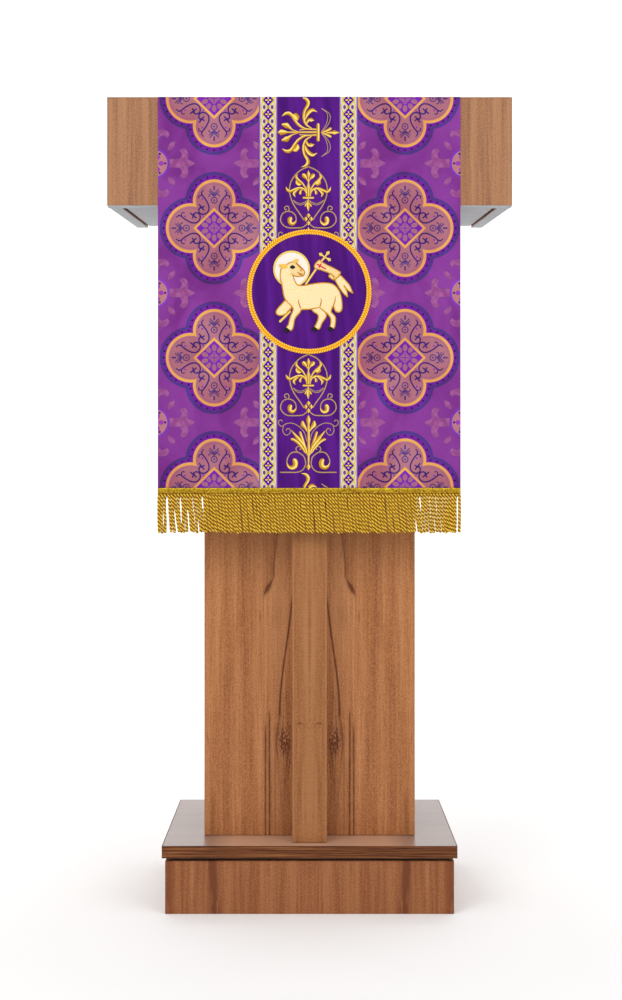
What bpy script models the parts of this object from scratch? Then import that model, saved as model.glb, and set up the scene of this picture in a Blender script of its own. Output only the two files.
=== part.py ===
"""A laminated board pulpit, dressed with an embroidered brocade fall.

Run it with blender --background --python part.py, or from Blender's text editor. Lengths are in metres.
+Z is up, X runs across the pulpit, -Y faces the congregation and +Y faces the reader.
The origin is on the floor, under the middle of the reading desk.
"""

import math

import bmesh
import bpy
from mathutils import Matrix, Vector

# Driving dimensions
HEIGHT = 1.200  # floor to the top edge of the fascia
BOARD = 0.018  # every laminated board is this thick
GAP = 0.0003  # left between two pieces that touch
CHAMFER = 0.0008  # on the long edges of a board
BAND = 0.001  # an edge band

HEAD_WIDTH = 0.594
HEAD_DEPTH = 0.400
FASCIA_HEIGHT = 0.160
DESK_SLOPE = math.radians(10.0)  # the desk falls towards the reader
UNDERSIDE_SLOPE = math.radians(4.83)  # the underside rises towards the reader
UNDERSIDE_RECESS = 0.003  # the bottom board sits this far above the rim around it
UNDERSIDE_GROOVE = 0.0025  # left open between the bottom board and each side
STOP_HEIGHT = 0.020  # the ledge that holds a book on the desk
STOP_LENGTH = 0.520

COLUMN_WIDTH = 0.318
COLUMN_DEPTH = 0.220
COLUMN_SETBACK = 0.067  # from the front of the slab to the front of the column
POST_WIDTH = 0.051
POST_SETBACK = 0.019  # from the front of the slab to the front of the post
BATTEN = 0.030

SLAB_WIDTH = 0.434
SLAB_DEPTH = 0.326
SLAB_TOP = 0.101
PLINTH_TOP = 0.078
PLINTH_INSET = 0.0045  # the slab overhangs the plinth by this much
REVEAL_INSET = 0.006  # the black board is set back this far behind the plinth's face
BLOCK = 0.034
BLOCK_LIFT = 0.004  # the corner blocks stop short of the floor

FALL_WIDTH = 0.443
FALL_CLEARANCE = 0.0007  # between the boards and the lining
FALL_HEM = 0.6138  # height of the front hem
REAR_HEM = 0.9600
FOLD_RADIUS = 0.0015
INNER_FOLD_RADIUS = 0.010
FOLD_STEP = math.radians(15.0)
ORPHREY_WIDTH = 0.090
ORPHREY_MIDDLE = -0.0018  # sewn on a little to the left of the middle
GALLOON_WIDTH = 0.0275
MEDALLION_HEIGHT = 0.9145
MEDALLION_RADIUS = 0.0916
CORD_WIDTH = 0.0080
HEADER_HEIGHT = 0.013
SKIRT_LENGTH = 0.053

# Where each layer of the fall starts and ends, measured outwards from the lining's inner side
LINING_LAYER = (0.0000, 0.0006)
BROCADE_LAYER = (0.0009, 0.0017)
ORPHREY_LAYER = (0.0020, 0.0025)
MEDALLION_LAYER = (0.0028, 0.0034)
RAISED_LAYER = (0.0037, 0.0058)
HEADER_LAYER = (0.0028, 0.0043)
SKIRT_LAYER = (0.0004, 0.0038)

# Places that follow from the driving dimensions
FRONT = -HEAD_DEPTH / 2
REAR = HEAD_DEPTH / 2
BEHIND_FASCIA = FRONT + BOARD
SLAB_BOTTOM = SLAB_TOP - BOARD
SLAB_REAR = FRONT + SLAB_DEPTH
COLUMN_FRONT = FRONT + COLUMN_SETBACK
COLUMN_REAR = COLUMN_FRONT + COLUMN_DEPTH
HEAD_BOTTOM = HEIGHT - FASCIA_HEIGHT
SIDE_INNER = HEAD_WIDTH / 2 - BOARD
DESK_RISE = BOARD / math.cos(DESK_SLOPE)  # the desk board's thickness, measured upright

FASTENER_SIDES = 10
DOWEL_RADIUS = 0.003
SCREW_HEAD_RADIUS = 0.004
SCREW_SHANK_RADIUS = 0.002
SCREW_HEAD_HEIGHT = 0.0025
SCREW_TIP = 0.004
SCREW_DEPTH = 0.0005  # a screw's head lies this far under the surface

finishes = {}
holes = {}


# Places on the sloping surfaces


def underside(y):
    """Height of the head's lower rim."""
    return HEAD_BOTTOM + (y - FRONT) * math.tan(UNDERSIDE_SLOPE)


def bottom_face(y):
    """Height of the lower face of the head's bottom board."""
    return underside(y) + UNDERSIDE_RECESS


def desk_face(y):
    """Height of the desk's upper face."""
    return HEIGHT - (y - BEHIND_FASCIA) * math.tan(DESK_SLOPE)


# Materials and objects


def add_finish(name, colour, roughness, metallic=0.0):
    finish = bpy.data.materials.new(name)
    finish.use_nodes = True
    shader = finish.node_tree.nodes["Principled BSDF"]
    shader.inputs["Base Color"].default_value = (*colour, 1.0)
    shader.inputs["Roughness"].default_value = roughness
    shader.inputs["Metallic"].default_value = metallic
    finishes[name] = finish


def add_group(name, location):
    """An empty that the sub-parts of one assembly are parented to."""
    empty = bpy.data.objects.new(name, None)
    empty.location = location
    bpy.context.scene.collection.objects.link(empty)
    return empty


def add_object(name, bm, finish, location, parent, smooth=False):
    """Makes an object of bm at a place in the row frame, and parents it without moving it."""
    bmesh.ops.recalc_face_normals(bm, faces=bm.faces)
    mesh = bpy.data.meshes.new(name)
    bm.to_mesh(mesh)
    bm.free()
    if smooth:
        mesh.shade_smooth()
        mesh.set_sharp_from_angle(angle=math.radians(35))
    obj = bpy.data.objects.new(name, mesh)
    obj.data.materials.append(finishes[finish])
    obj.parent = parent
    obj.location = Vector(location) - parent.location
    bpy.context.scene.collection.objects.link(obj)
    return obj


def add_chamfer(obj, width):
    bevel = obj.modifiers.new("chamfer", "BEVEL")
    bevel.width = width
    bevel.segments = 1
    bevel.limit_method = "ANGLE"


def board(name, finish, low, high, parent, chamfer=CHAMFER):
    """A flat board between two corners."""
    low, high = Vector(low), Vector(high)
    bm = bmesh.new()
    bmesh.ops.create_cube(bm, size=1.0, matrix=Matrix.Diagonal((*(high - low), 1.0)))
    obj = add_object(name, bm, finish, (low + high) / 2, parent)
    if chamfer:
        add_chamfer(obj, chamfer)
    return obj


def prism(name, finish, outline, x_low, x_high, parent, chamfer=CHAMFER):
    """A board whose edge outline, in the YZ plane, isn't a rectangle."""
    middle = Vector((0.0, *[sum(axis) / len(outline) for axis in zip(*outline)]))
    bm = bmesh.new()
    face = bm.faces.new([bm.verts.new(Vector((x_low, y, z)) - middle) for y, z in outline])
    side = bmesh.ops.extrude_face_region(bm, geom=[face])
    moved = [v for v in side["geom"] if isinstance(v, bmesh.types.BMVert)]
    bmesh.ops.translate(bm, verts=moved, vec=(x_high - x_low, 0, 0))
    obj = add_object(name, bm, finish, middle, parent)
    if chamfer:
        add_chamfer(obj, chamfer)
    return obj


# Dowels and screws: each is a turned solid, and cuts its own hole in the boards that it joins


def turn(bm, profile, matrix):
    """Adds a turned solid to bm. Its profile is (radius, height) points from one end to the other."""
    rings = []
    for radius, height in profile:
        steps = range(FASTENER_SIDES if radius else 1)
        angles = [math.tau * step / FASTENER_SIDES for step in steps]
        points = [Vector((radius * math.cos(angle), radius * math.sin(angle), height)) for angle in angles]
        rings.append([bm.verts.new(matrix @ point) for point in points])
    for ring, following in zip(rings, rings[1:]):
        for i in range(FASTENER_SIDES):
            j = i + 1
            corners = [ring[i % len(ring)], ring[j % len(ring)]]
            corners += [following[j % len(following)], following[i % len(following)]]
            bm.faces.new(list(dict.fromkeys(corners)))


def dowel(length, grow=0.0):
    radius = DOWEL_RADIUS + grow
    return [(0, -grow), (radius, -grow), (radius, length + grow), (0, length + grow)]


def screw(length, grow=0.0):
    head, shank = SCREW_HEAD_RADIUS + grow, SCREW_SHANK_RADIUS + grow
    top = -SCREW_DEPTH if grow else SCREW_DEPTH
    return [
        (0, top),
        (head, top),
        (head, SCREW_DEPTH + grow),
        (shank, SCREW_DEPTH + SCREW_HEAD_HEIGHT + grow),
        (shank, length - SCREW_TIP + grow),
        (0, length + grow),
    ]


def join(name, kind, length, start, towards, boards, parent):
    """Drives a fastener from start towards a direction, through the named boards."""
    turned = Vector(towards).to_track_quat("Z", "X").to_matrix().to_4x4()
    matrix = Matrix.Translation(Vector(start)) @ turned
    bm = bmesh.new()
    turn(bm, kind(length), matrix)
    add_object(name, bm, "steel" if kind is screw else "softwood", (0, 0, 0), parent, smooth=True)
    for drilled in boards:
        holes.setdefault(drilled, []).append((kind(length, grow=GAP), matrix))


def drill_boards(parent):
    """Cuts every hole that a board was given, with one cutter to each board."""
    for name, profiles in holes.items():
        bm = bmesh.new()
        for profile, matrix in profiles:
            turn(bm, profile, matrix)
        cutter = add_object(f"{name}_holes", bm, "steel", (0, 0, 0), parent)
        cutter.hide_render = True
        cutter.display_type = "WIRE"
        cut = bpy.data.objects[name].modifiers.new("holes", "BOOLEAN")
        cut.operation = "DIFFERENCE"
        cut.solver = "EXACT"
        cut.object = cutter


# The plinth and its slab


def build_plinth(group):
    half, front, rear = SLAB_WIDTH / 2 - PLINTH_INSET, FRONT + PLINTH_INSET, SLAB_REAR - PLINTH_INSET
    inner = half - BOARD
    board("plinth_front_board", "laminate", (-half, front, 0), (half, front + BOARD, PLINTH_TOP), group)
    board("plinth_back_board", "laminate", (-half, rear - BOARD, 0), (half, rear, PLINTH_TOP), group)
    inside = front + BOARD + GAP, rear - BOARD - GAP
    for side, name in ((-1, "left"), (1, "right")):
        x_low, x_high = sorted((side * half, side * inner))
        board(
            f"plinth_{name}_board",
            "laminate",
            (x_low, inside[0], 0),
            (x_high, inside[1], PLINTH_TOP),
            group,
        )
        x_low, x_high = sorted((side * (inner - GAP), side * (inner - BLOCK)))
        for row, y_low in (("front", inside[0]), ("back", inside[1] - BLOCK)):
            board(
                f"plinth_{row}_{name}_block",
                "softwood",
                (x_low, y_low, BLOCK_LIFT),
                (x_high, y_low + BLOCK, PLINTH_TOP),
                group,
                chamfer=0,
            )
    # The black board closes the plinth, and makes the shadow line under the slab
    board(
        "reveal_board",
        "black_board",
        (REVEAL_INSET - half, front + REVEAL_INSET, PLINTH_TOP + GAP),
        (half - REVEAL_INSET, rear - REVEAL_INSET, SLAB_BOTTOM - GAP),
        group,
        chamfer=0,
    )


def build_slab(group):
    half, band = SLAB_WIDTH / 2, BAND + GAP
    board(
        "base_slab",
        "slab_laminate",
        (-half + band, FRONT + band, SLAB_BOTTOM),
        (half - band, SLAB_REAR - band, SLAB_TOP),
        group,
        chamfer=0,
    )
    ends = ((-half, FRONT, SLAB_BOTTOM), (half, SLAB_REAR, SLAB_TOP))
    build_bands(group, "slab_edge", "dark_band", *ends)


def build_bands(group, name, finish, low, high):
    """Edge bands round the four upright edges of a level board: front and back run the full width."""
    (x0, y0, z0), (x1, y1, z1) = low, high
    inner = BAND + GAP
    board(f"{name}_front", finish, low, (x1, y0 + BAND, z1), group, chamfer=0)
    board(f"{name}_back", finish, (x0, y1 - BAND, z0), high, group, chamfer=0)
    board(f"{name}_left", finish, (x0, y0 + inner, z0), (x0 + BAND, y1 - inner, z1), group, chamfer=0)
    board(f"{name}_right", finish, (x1 - BAND, y0 + inner, z0), (x1, y1 - inner, z1), group, chamfer=0)


# The column and the post in front of it


def build_column(group):
    half, foot = COLUMN_WIDTH / 2, SLAB_TOP + GAP

    def upright(name, finish, x_low, x_high, y_low, y_high, chamfer=CHAMFER):
        """A board that stands on the slab and is cut on the slope of the head's underside."""
        tops = [(y, bottom_face(y) - GAP) for y in (y_high, y_low)]
        outline = [(y_low, foot), (y_high, foot), *tops]
        return prism(name, finish, outline, x_low, x_high, group, chamfer)

    upright("column_front_board", "laminate", -half, half, COLUMN_FRONT, COLUMN_FRONT + BOARD)
    upright("column_back_board", "laminate", -half, half, COLUMN_REAR - BOARD, COLUMN_REAR)
    inside = COLUMN_FRONT + BOARD + GAP, COLUMN_REAR - BOARD - GAP
    upright("column_left_board", "laminate", -half, -half + BOARD, *inside)
    upright("column_right_board", "laminate", half - BOARD, half, *inside)
    post = POST_WIDTH / 2
    upright("front_post", "laminate", -post, post, FRONT + POST_SETBACK, COLUMN_FRONT - GAP)
    build_battens(group, half - BOARD - GAP, inside)
    joined = "column_front_board", "front_post"
    for place, height in (("low", 0.30), ("middle", 0.60), ("high", 0.90)):
        start = (0, COLUMN_FRONT + BOARD, height)
        join(f"{place}_post_screw", screw, 0.045, start, (0, -1, 0), joined, group)


def build_battens(group, inner, inside):
    """Softwood battens inside the column: two are screwed to the slab, and two to the head."""
    foot, (y_low, y_high) = SLAB_TOP + GAP, inside
    normal = Vector((0, -math.sin(UNDERSIDE_SLOPE), math.cos(UNDERSIDE_SLOPE)))
    for side, name in ((-1, "left"), (1, "right")):
        x_low, x_high = sorted((side * inner, side * (inner - BATTEN)))
        low = board(
            f"column_{name}_foot_batten",
            "softwood",
            (x_low, y_low, foot),
            (x_high, y_high, foot + BATTEN),
            group,
            chamfer=0,
        )
        tops = [(y, bottom_face(y) - GAP) for y in (y_high, y_low)]
        bottoms = [(y, z - BATTEN) for y, z in reversed(tops)]
        outline = [*bottoms, *tops]
        high = prism(f"column_{name}_head_batten", "softwood", outline, x_low, x_high, group, chamfer=0)
        x, y = (x_low + x_high) / 2, (y_low + y_high) / 2
        joined = low.name, "base_slab"
        join(f"{name}_slab_screw", screw, 0.040, (x, y, SLAB_BOTTOM), (0, 0, 1), joined, group)
        start = Vector((x, y, bottom_face(y))) + normal * BOARD / math.cos(UNDERSIDE_SLOPE)
        joined = high.name, "head_bottom_board"
        join(f"{name}_head_screw", screw, 0.040, start, -normal, joined, group)


# The head: fascia, sides, back rail, bottom board, desk and book stop


def build_fascia(group):
    half, band = HEAD_WIDTH / 2, BAND + GAP
    low, high = (-half, FRONT, HEAD_BOTTOM), (half, BEHIND_FASCIA - GAP, HEIGHT)
    board(
        "head_fascia",
        "laminate",
        (low[0] + band, FRONT, HEAD_BOTTOM + band),
        (high[0] - band, high[1], HEIGHT - band),
        group,
        chamfer=0,
    )
    board("fascia_edge_top", "plum_band", (low[0], FRONT, HEIGHT - BAND), high, group, chamfer=0)
    board(
        "fascia_edge_bottom", "grey_band", low, (high[0], high[1], HEAD_BOTTOM + BAND), group, chamfer=0
    )
    for side, name in ((-1, "left"), (1, "right")):
        ends = sorted((side * half, side * (half - BAND)))
        board(
            f"fascia_edge_{name}",
            "plum_band",
            (ends[0], FRONT, HEAD_BOTTOM + band),
            (ends[1], high[1], HEIGHT - band),
            group,
            chamfer=0,
        )


def build_head_box(group):
    half, front = HEAD_WIDTH / 2, BEHIND_FASCIA
    rim = BAND + GAP

    def under_desk(y):
        return desk_face(y) - DESK_RISE - GAP

    for side, name in ((-1, "left"), (1, "right")):
        x_low, x_high = sorted((side * half, side * SIDE_INNER))
        outline = [
            (front, underside(front) + rim),
            (REAR, underside(REAR) + rim),
            (REAR, under_desk(REAR)),
            (front, under_desk(front)),
        ]
        panel = f"head_{name}_side"
        prism(panel, "laminate", outline, x_low, x_high, group)
        edge = [(y, underside(y)) for y in (front, REAR)]
        edge += [(y, z + BAND) for y, z in reversed(edge)]
        prism(f"head_{name}_rim", "grey_band", edge, x_low, x_high, group, chamfer=0)
        for place, height in (("low", HEAD_BOTTOM + 0.03), ("high", HEIGHT - 0.05)):
            start = (side * (half - BOARD / 2), front - 0.010, height)
            joined = "head_fascia", panel
            join(f"{place}_{name}_head_dowel", dowel, 0.028, start, (0, 1, 0), joined, group)
    inner = SIDE_INNER - UNDERSIDE_GROOVE
    lower = [(y, bottom_face(y)) for y in (front, REAR)]
    upper = [(y, z + BOARD) for y, z in reversed(lower)]
    prism("head_bottom_board", "grey_board", [*lower, *upper], -inner, inner, group, chamfer=0)
    rail = [(y, bottom_face(y) + BOARD + GAP) for y in (REAR - BOARD, REAR)]
    rail += [(y, under_desk(y)) for y in (REAR, REAR - BOARD)]
    inner = SIDE_INNER - GAP
    prism("head_back_rail", "laminate", rail, -inner, inner, group)


def build_desk(group):
    half, front = HEAD_WIDTH / 2, BEHIND_FASCIA
    outline = [(y, desk_face(y) - DESK_RISE) for y in (front, REAR)]
    outline += [(y, desk_face(y)) for y in (REAR, front)]
    prism("desk_board", "laminate", outline, -half, half, group)
    stop = board(
        "book_stop",
        "laminate",
        (-STOP_LENGTH / 2, -BOARD, GAP),
        (STOP_LENGTH / 2, 0, STOP_HEIGHT),
        group,
    )
    foot = Vector((0, REAR, desk_face(REAR)))
    stop.rotation_euler.x = -DESK_SLOPE
    middle = Vector((0, -BOARD / 2, (STOP_HEIGHT + GAP) / 2))
    stop.location = foot + Matrix.Rotation(-DESK_SLOPE, 3, "X") @ middle - group.location


# The fall: a strip of cloth that hangs down the front, lies over the desk and hangs behind it


def fall_line():
    """The corners that the cloth turns round, and the radius of each fold, in the YZ plane."""
    along = Vector((math.cos(DESK_SLOPE), -math.sin(DESK_SLOPE)))
    up = Vector((math.sin(DESK_SLOPE), math.cos(DESK_SLOPE)))
    desk_rear = Vector((REAR, desk_face(REAR)))
    stop_foot = desk_rear - along * (BOARD + FALL_CLEARANCE) + up * FALL_CLEARANCE
    stop_top = stop_foot + up * STOP_HEIGHT
    back_top = stop_top + along * (BOARD + 2 * FALL_CLEARANCE)
    edge = Vector((FRONT - FALL_CLEARANCE, HEIGHT + FALL_CLEARANCE))
    return [
        (Vector((edge.x, FALL_HEM)), 0.0),
        (edge, FOLD_RADIUS),
        (Vector((BEHIND_FASCIA, edge.y)), INNER_FOLD_RADIUS),
        (stop_foot, INNER_FOLD_RADIUS),
        (stop_top, FOLD_RADIUS),
        (back_top, FOLD_RADIUS),
        (Vector((back_top.x, REAR_HEM)), 0.0),
    ]


def fall_stations():
    """Points along the cloth's inner side, each with its outward normal."""
    line = fall_line()
    stations = []
    for i, (corner, radius) in enumerate(line):
        before = (corner - line[i - 1][0]).normalized() if i else None
        after = (line[i + 1][0] - corner).normalized() if i + 1 < len(line) else None
        if before is None or after is None:
            direction = after or before
            stations.append((corner, Vector((-direction.y, direction.x))))
            continue
        first = math.atan2(before.y, before.x)
        bend = math.atan2(before.cross(after), before.dot(after))
        start = corner - before * radius * math.tan(abs(bend) / 2)
        outward = Vector((-before.y, before.x))
        side = 1 if bend > 0 else -1  # the fold's centre is outside the cloth, or inside it
        centre = start + outward * radius * side
        steps = max(2, round(abs(bend) / FOLD_STEP))
        for step in range(steps + 1):
            angle = first + bend * step / steps
            normal = Vector((-math.sin(angle), math.cos(angle)))
            stations.append((centre - normal * radius * side, normal))
    return stations


def ribbon(name, finish, x_low, x_high, layer, group):
    """One layer of the fall: a strip between two distances from the lining's inner side."""
    bm = bmesh.new()
    rings = []
    for point, normal in fall_stations():
        inner, outer = (point + normal * height for height in layer)
        corners = ((x_low, inner), (x_high, inner), (x_high, outer), (x_low, outer))
        rings.append([bm.verts.new((x, p.x, p.y)) for x, p in corners])
    for ring, following in zip(rings, rings[1:]):
        for i in range(4):
            j = (i + 1) % 4
            bm.faces.new((ring[i], ring[j], following[j], following[i]))
    bm.faces.new(rings[0])
    bm.faces.new(rings[-1])
    return add_object(name, bm, finish, (0, 0, 0), group)


def build_fall_strips(group):
    half = FALL_WIDTH / 2
    ribbon("fall_lining", "lining", -half, half, LINING_LAYER, group)
    ribbon("fall_brocade", "brocade", -half, half, BROCADE_LAYER, group)
    left, right = ORPHREY_MIDDLE - ORPHREY_WIDTH / 2, ORPHREY_MIDDLE + ORPHREY_WIDTH / 2
    ribbon("orphrey_panel", "orphrey", left, right, ORPHREY_LAYER, group)
    ribbon("left_galloon", "galloon", left - GALLOON_WIDTH, left - GAP, ORPHREY_LAYER, group)
    ribbon("right_galloon", "galloon", right + GAP, right + GALLOON_WIDTH, ORPHREY_LAYER, group)


def on_front(height):
    """The Y of a surface of the front drop at a height above the lining's inner side."""
    return FRONT - FALL_CLEARANCE - height


def build_medallion(group):
    centre = (0, on_front(sum(MEDALLION_LAYER) / 2), MEDALLION_HEIGHT)
    bm = bmesh.new()
    bmesh.ops.create_cone(
        bm,
        cap_ends=True,
        segments=64,
        radius1=MEDALLION_RADIUS,
        radius2=MEDALLION_RADIUS,
        depth=MEDALLION_LAYER[1] - MEDALLION_LAYER[0],
        matrix=Matrix.Rotation(math.pi / 2, 4, "X"),
    )
    add_object("medallion_ground", bm, "orphrey", centre, group, smooth=True)
    build_medallion_cord(group)
    build_lamb(group)


def build_medallion_cord(group):
    """A ring with a half-round section, laid on the rim of the medallion."""
    middle, thickness = MEDALLION_RADIUS - CORD_WIDTH / 2, RAISED_LAYER[1] - RAISED_LAYER[0]
    bm = bmesh.new()
    points = []
    for i in range(6):
        angle = math.pi * i / 5
        points.append((middle - CORD_WIDTH / 2 * math.cos(angle), thickness * math.sin(angle)))
    section = [bm.verts.new((radius, -height, 0)) for radius, height in points]
    edges = [bm.edges.new((a, b)) for a, b in zip(section, section[1:] + section[:1])]
    bmesh.ops.spin(
        bm, geom=[*section, *edges], axis=(0, 1, 0), cent=(0, 0, 0), angle=math.tau, steps=64, use_merge=True
    )
    centre = (0, on_front(RAISED_LAYER[0]), MEDALLION_HEIGHT)
    add_object("medallion_cord", bm, "gold_thread", centre, group, smooth=True)


def build_lamb(group):
    """The raised lamb: a soft outline round its body, neck and head, with the legs under it."""
    body = [
        (-0.043, 0.036),
        (-0.030, 0.042),
        (-0.017, 0.036),
        (-0.010, 0.022),
        (-0.016, 0.018),
        (-0.020, 0.007),
        (0.010, 0.010),
        (0.034, 0.008),
        (0.046, -0.010),
        (0.047, -0.031),
        (0.037, -0.030),
        (0.038, -0.050),
        (0.031, -0.052),
        (0.021, -0.028),
        (-0.012, -0.026),
        (-0.024, -0.054),
        (-0.033, -0.053),
        (-0.026, -0.030),
        (-0.038, -0.010),
        (-0.040, 0.020),
    ]
    low, high = RAISED_LAYER[0], RAISED_LAYER[1] - 0.0008
    bm = bmesh.new()
    face = bm.faces.new([bm.verts.new((x, 0, z)) for x, z in body])
    raised = bmesh.ops.extrude_face_region(bm, geom=[face])
    moved = [v for v in raised["geom"] if isinstance(v, bmesh.types.BMVert)]
    bmesh.ops.translate(bm, verts=moved, vec=(0, low - high, 0))
    add_object("lamb_embroidery", bm, "cream_thread", (0, on_front(low), MEDALLION_HEIGHT), group)


def build_fringes(group):
    """A woven heading over each hem, with the skirt of twisted cords that hangs from it."""
    half = FALL_WIDTH / 2
    front, rear = on_front(0), fall_line()[-1][0].x
    for name, side, base, hem in (("front", -1, front, FALL_HEM), ("rear", 1, rear, REAR_HEM)):
        y_low, y_high = sorted(base + side * height for height in HEADER_LAYER)
        board(
            f"{name}_fringe_heading",
            "gold_thread",
            (-half, y_low, hem),
            (half, y_high, hem + HEADER_HEIGHT),
            group,
            chamfer=0,
        )
        y_low, y_high = sorted(base + side * height for height in SKIRT_LAYER)
        board(
            f"{name}_fringe_skirt",
            "gold_thread",
            (-half, y_low, hem - GAP - SKIRT_LENGTH),
            (half, y_high, hem - GAP),
            group,
            chamfer=0,
        )


def main():
    for obj in list(bpy.data.objects):
        bpy.data.objects.remove(obj)
    add_finish("laminate", (0.38, 0.16, 0.065), 0.42)
    add_finish("slab_laminate", (0.30, 0.13, 0.06), 0.25)
    add_finish("dark_band", (0.16, 0.065, 0.025), 0.45)
    add_finish("plum_band", (0.30, 0.12, 0.05), 0.45)
    add_finish("grey_band", (0.42, 0.43, 0.44), 0.50)
    add_finish("grey_board", (0.38, 0.39, 0.40), 0.50)
    add_finish("black_board", (0.012, 0.010, 0.009), 0.60)
    add_finish("softwood", (0.56, 0.40, 0.22), 0.70)
    add_finish("steel", (0.55, 0.55, 0.56), 0.35, 1.0)
    add_finish("lining", (0.10, 0.02, 0.16), 0.75)
    add_finish("brocade", (0.26, 0.04, 0.34), 0.45)
    add_finish("orphrey", (0.09, 0.01, 0.21), 0.45)
    add_finish("galloon", (0.72, 0.62, 0.40), 0.50)
    add_finish("gold_thread", (0.60, 0.36, 0.05), 0.40)
    add_finish("cream_thread", (0.85, 0.70, 0.38), 0.55)

    base = add_group("base", (0, FRONT + SLAB_DEPTH / 2, 0))
    column = add_group("column", (0, COLUMN_FRONT + COLUMN_DEPTH / 2, SLAB_TOP))
    head = add_group("head", (0, 0, HEAD_BOTTOM))
    fall = add_group("fall", (0, FRONT, HEIGHT))
    cutters = add_group("cutters", (0, 0, 0))

    build_slab(base)
    build_plinth(base)
    build_fascia(head)
    build_head_box(head)
    build_desk(head)
    build_column(column)
    build_fall_strips(fall)
    build_medallion(fall)
    build_fringes(fall)
    drill_boards(cutters)


main()
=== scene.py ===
"""Looks for the laminated board pulpit and its brocade fall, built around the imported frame.

Everything is in metres, in the frame's own axes: X across, -Y towards the congregation, +Z up.
"""

import math
import random

import bmesh
import bpy
import numpy as np
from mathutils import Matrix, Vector
from mathutils.geometry import delaunay_2d_cdt


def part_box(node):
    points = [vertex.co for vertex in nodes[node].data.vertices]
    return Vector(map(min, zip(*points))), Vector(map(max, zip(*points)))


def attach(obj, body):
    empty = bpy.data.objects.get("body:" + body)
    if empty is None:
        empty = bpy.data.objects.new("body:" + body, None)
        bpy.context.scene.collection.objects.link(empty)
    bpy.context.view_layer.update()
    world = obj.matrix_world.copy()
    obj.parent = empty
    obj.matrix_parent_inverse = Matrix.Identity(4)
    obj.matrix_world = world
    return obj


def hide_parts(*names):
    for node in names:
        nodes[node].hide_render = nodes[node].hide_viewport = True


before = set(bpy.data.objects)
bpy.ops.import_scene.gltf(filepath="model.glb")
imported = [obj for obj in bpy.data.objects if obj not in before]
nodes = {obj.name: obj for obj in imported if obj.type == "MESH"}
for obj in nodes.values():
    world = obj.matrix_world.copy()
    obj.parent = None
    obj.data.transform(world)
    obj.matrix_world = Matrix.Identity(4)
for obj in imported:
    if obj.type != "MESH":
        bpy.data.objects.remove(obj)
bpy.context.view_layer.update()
scene = bpy.context.scene
MM = 0.001
SOFT_SHINE = {"roughness": 0.5, "specular_ior_level": 0.2}


# ---------------------------------------------------------------- node graphs


class Value:
    """A number in a node graph. Arithmetic on it adds Math nodes."""

    def __init__(self, graph, socket):
        self.graph, self.socket = graph, socket

    def math(self, operation, *others, clamp=False):
        return self.graph.math(operation, self, *others, clamp=clamp)

    def __add__(self, other):
        return self.math("ADD", other)

    def __sub__(self, other):
        return self.math("SUBTRACT", other)

    def __rsub__(self, other):
        return self.graph.math("SUBTRACT", other, self)

    def __mul__(self, other):
        return self.math("MULTIPLY", other)

    def __truediv__(self, other):
        return self.math("DIVIDE", other)

    def __abs__(self):
        return self.math("ABSOLUTE")

    def __neg__(self):
        return self.math("MULTIPLY", -1.0)

    __radd__ = __add__
    __rmul__ = __mul__

    def low(self, other):
        return self.math("MINIMUM", other)

    def high(self, other):
        return self.math("MAXIMUM", other)

    def power(self, exponent):
        return self.math("POWER", exponent)

    def wrapped(self, period):
        """Its distance from the nearest multiple of period, with a sign."""
        return self.math("WRAP", period / 2, -period / 2)

    def fade(self, start, end, low=0.0, high=1.0):
        """A smooth step from low at start to high at end."""
        node = self.graph.tree.nodes.new("ShaderNodeMapRange")
        node.interpolation_type = "SMOOTHSTEP"
        for socket, value in zip(node.inputs, (self, start, end, low, high)):
            self.graph.put(socket, value)
        return Value(self.graph, node.outputs[0])

    def bell(self, centre, width):
        """One at the centre, falling to nothing at about twice the width."""
        away = (self - centre) / width
        return self.graph.math("EXPONENT", -(away * away))


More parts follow.
